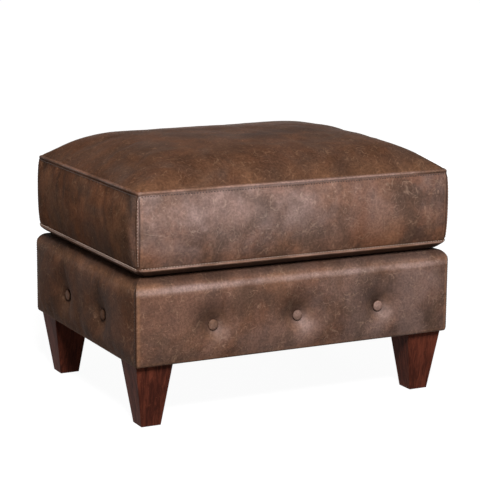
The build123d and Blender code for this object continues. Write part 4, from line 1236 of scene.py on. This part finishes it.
def white_floor():
    """A floor that glows white where it is seen, fading in round the ottoman's shadow."""
    clear_selection()
    bpy.ops.mesh.primitive_plane_add(size=FLOOR_SIZE, location=(0, 0, 0))
    floor = bpy.context.object
    floor.name = "studio_floor"
    made = bpy.data.materials.new("studio floor")
    made.use_nodes = True
    made.node_tree.nodes.clear()
    graph = Graph(made.node_tree)
    matte = graph.add("BsdfDiffuse", {"Color": (0.2, 0.2, 0.2, 1.0)})
    place = graph.add("TexCoord").outputs["Object"]
    away = graph.add("VectorMath", {0: place}, operation="LENGTH").outputs["Value"]
    white = graph.times(seen_directly(graph), graph.spread(away, 0.6, 1.4, 0.95, 1.0))
    glow = graph.add("Emission", {"Color": WHITE, "Strength": white})
    both = graph.add("AddShader", {0: matte.outputs[0], 1: glow.outputs[0]})
    graph.add("OutputMaterial", {0: both.outputs[0]})
    floor.data.materials.append(made)
    return floor


def white_room(strength):
    """Surroundings that look white and light the ottoman with the given strength."""
    world = bpy.data.worlds.new("studio room")
    world.use_nodes = True
    world.node_tree.nodes.clear()
    graph = Graph(world.node_tree)
    light = graph.add("MapRange", {"Value": seen_directly(graph), "To Min": strength, "To Max": 1.0})
    sky = graph.add("Background", {"Color": WHITE, "Strength": light.outputs[0]})
    graph.add("OutputWorld", {0: sky.outputs[0]})
    return world


def softbox(name, place, wide, high, energy):
    """A large area lamp turned towards the ottoman."""
    lamp = bpy.data.lights.new(name, "AREA")
    lamp.shape, lamp.size, lamp.size_y, lamp.energy = "RECTANGLE", wide, high, energy
    made = bpy.data.objects.new(name, lamp)
    made.location = place
    made.rotation_euler = (Vector(LAMP_AIM) - Vector(place)).to_track_quat("-Z", "Y").to_euler()
    bpy.context.scene.collection.objects.link(made)


def photo_camera(stage):
    """The camera, turned, dipped and leaned as the stage's settings say."""
    forward = Vector((math.sin(stage.yaw) * math.cos(stage.pitch),
                      math.cos(stage.yaw) * math.cos(stage.pitch), -math.sin(stage.pitch)))
    right = Vector((math.cos(stage.yaw), -math.sin(stage.yaw), 0))
    up = right.cross(forward)
    lean, stand = math.sin(stage.roll), math.cos(stage.roll)
    right, up = right * stand + up * lean, up * stand - right * lean
    camera = bpy.data.cameras.new("studio camera")
    camera.sensor_width, camera.lens, camera.clip_end = SENSOR_WIDTH, stage.lens, FAR_CLIP
    seat = bpy.data.objects.new("studio_camera", camera)
    turn = Matrix((right, up, -forward)).transposed().to_4x4()
    seat.matrix_world = Matrix.Translation(stage.eye) @ turn
    bpy.context.scene.collection.objects.link(seat)
    return seat


class OTTOMAN_OT_stage(Operator):
    """Makes the floor, the lights, the plain white surroundings and the camera."""
    bl_idname = "ottoman.stage"
    bl_label = "Stage, lights and camera"

    def execute(self, context):
        stage = context.scene.ottoman_stage
        white_floor()
        context.scene.world = white_room(stage.room)
        for name, (place, wide, high, source) in SOFTBOXES.items():
            softbox(name, place, wide, high, getattr(stage, source))
        context.scene.camera = photo_camera(stage)
        context.scene.view_settings.view_transform = "Standard"
        return {"FINISHED"}


STEPS = (OTTOMAN_OT_stage, OTTOMAN_OT_cushion, OTTOMAN_OT_base, OTTOMAN_OT_stitches,
         OTTOMAN_OT_buttons, OTTOMAN_OT_zip, OTTOMAN_OT_finishes)
SETTINGS = {"ottoman_sizes": OttomanSizes, "ottoman_colours": OttomanColours,
            "ottoman_stage": OttomanStage}


class OTTOMAN_PT_panel(Panel):
    """Lists the ottoman's pieces and settings."""
    bl_idname = "OTTOMAN_PT_panel"
    bl_label = "Leather Ottoman"
    bl_space_type = "VIEW_3D"
    bl_region_type = "UI"
    bl_category = "Ottoman"

    def draw(self, context):
        column = self.layout.column(align=True)
        for step in STEPS:
            column.operator(step.bl_idname)
        for group, kind in SETTINGS.items():
            box = self.layout.box()
            for name in kind.__annotations__:
                box.prop(getattr(context.scene, group), name)


CLASSES = (*SETTINGS.values(), *STEPS, OTTOMAN_PT_panel)


def register():
    """Registers the settings, operators and panel."""
    for part in CLASSES:
        bpy.utils.register_class(part)
    for name, kind in SETTINGS.items():
        setattr(bpy.types.Scene, name, PointerProperty(type=kind))


def unregister():
    """Removes them again."""
    for name in SETTINGS:
        delattr(bpy.types.Scene, name)
    for part in reversed(CLASSES):
        bpy.utils.unregister_class(part)


def main():
    """Builds the whole ottoman."""
    register()
    bpy.ops.ottoman.stage()
    bpy.ops.ottoman.cushion()
    bpy.ops.ottoman.base()
    bpy.ops.ottoman.stitches()
    bpy.ops.ottoman.buttons()
    bpy.ops.ottoman.zip()
    bpy.ops.ottoman.finishes()
    bpy.context.view_layer.update()


if __name__ == "__main__":
    main()
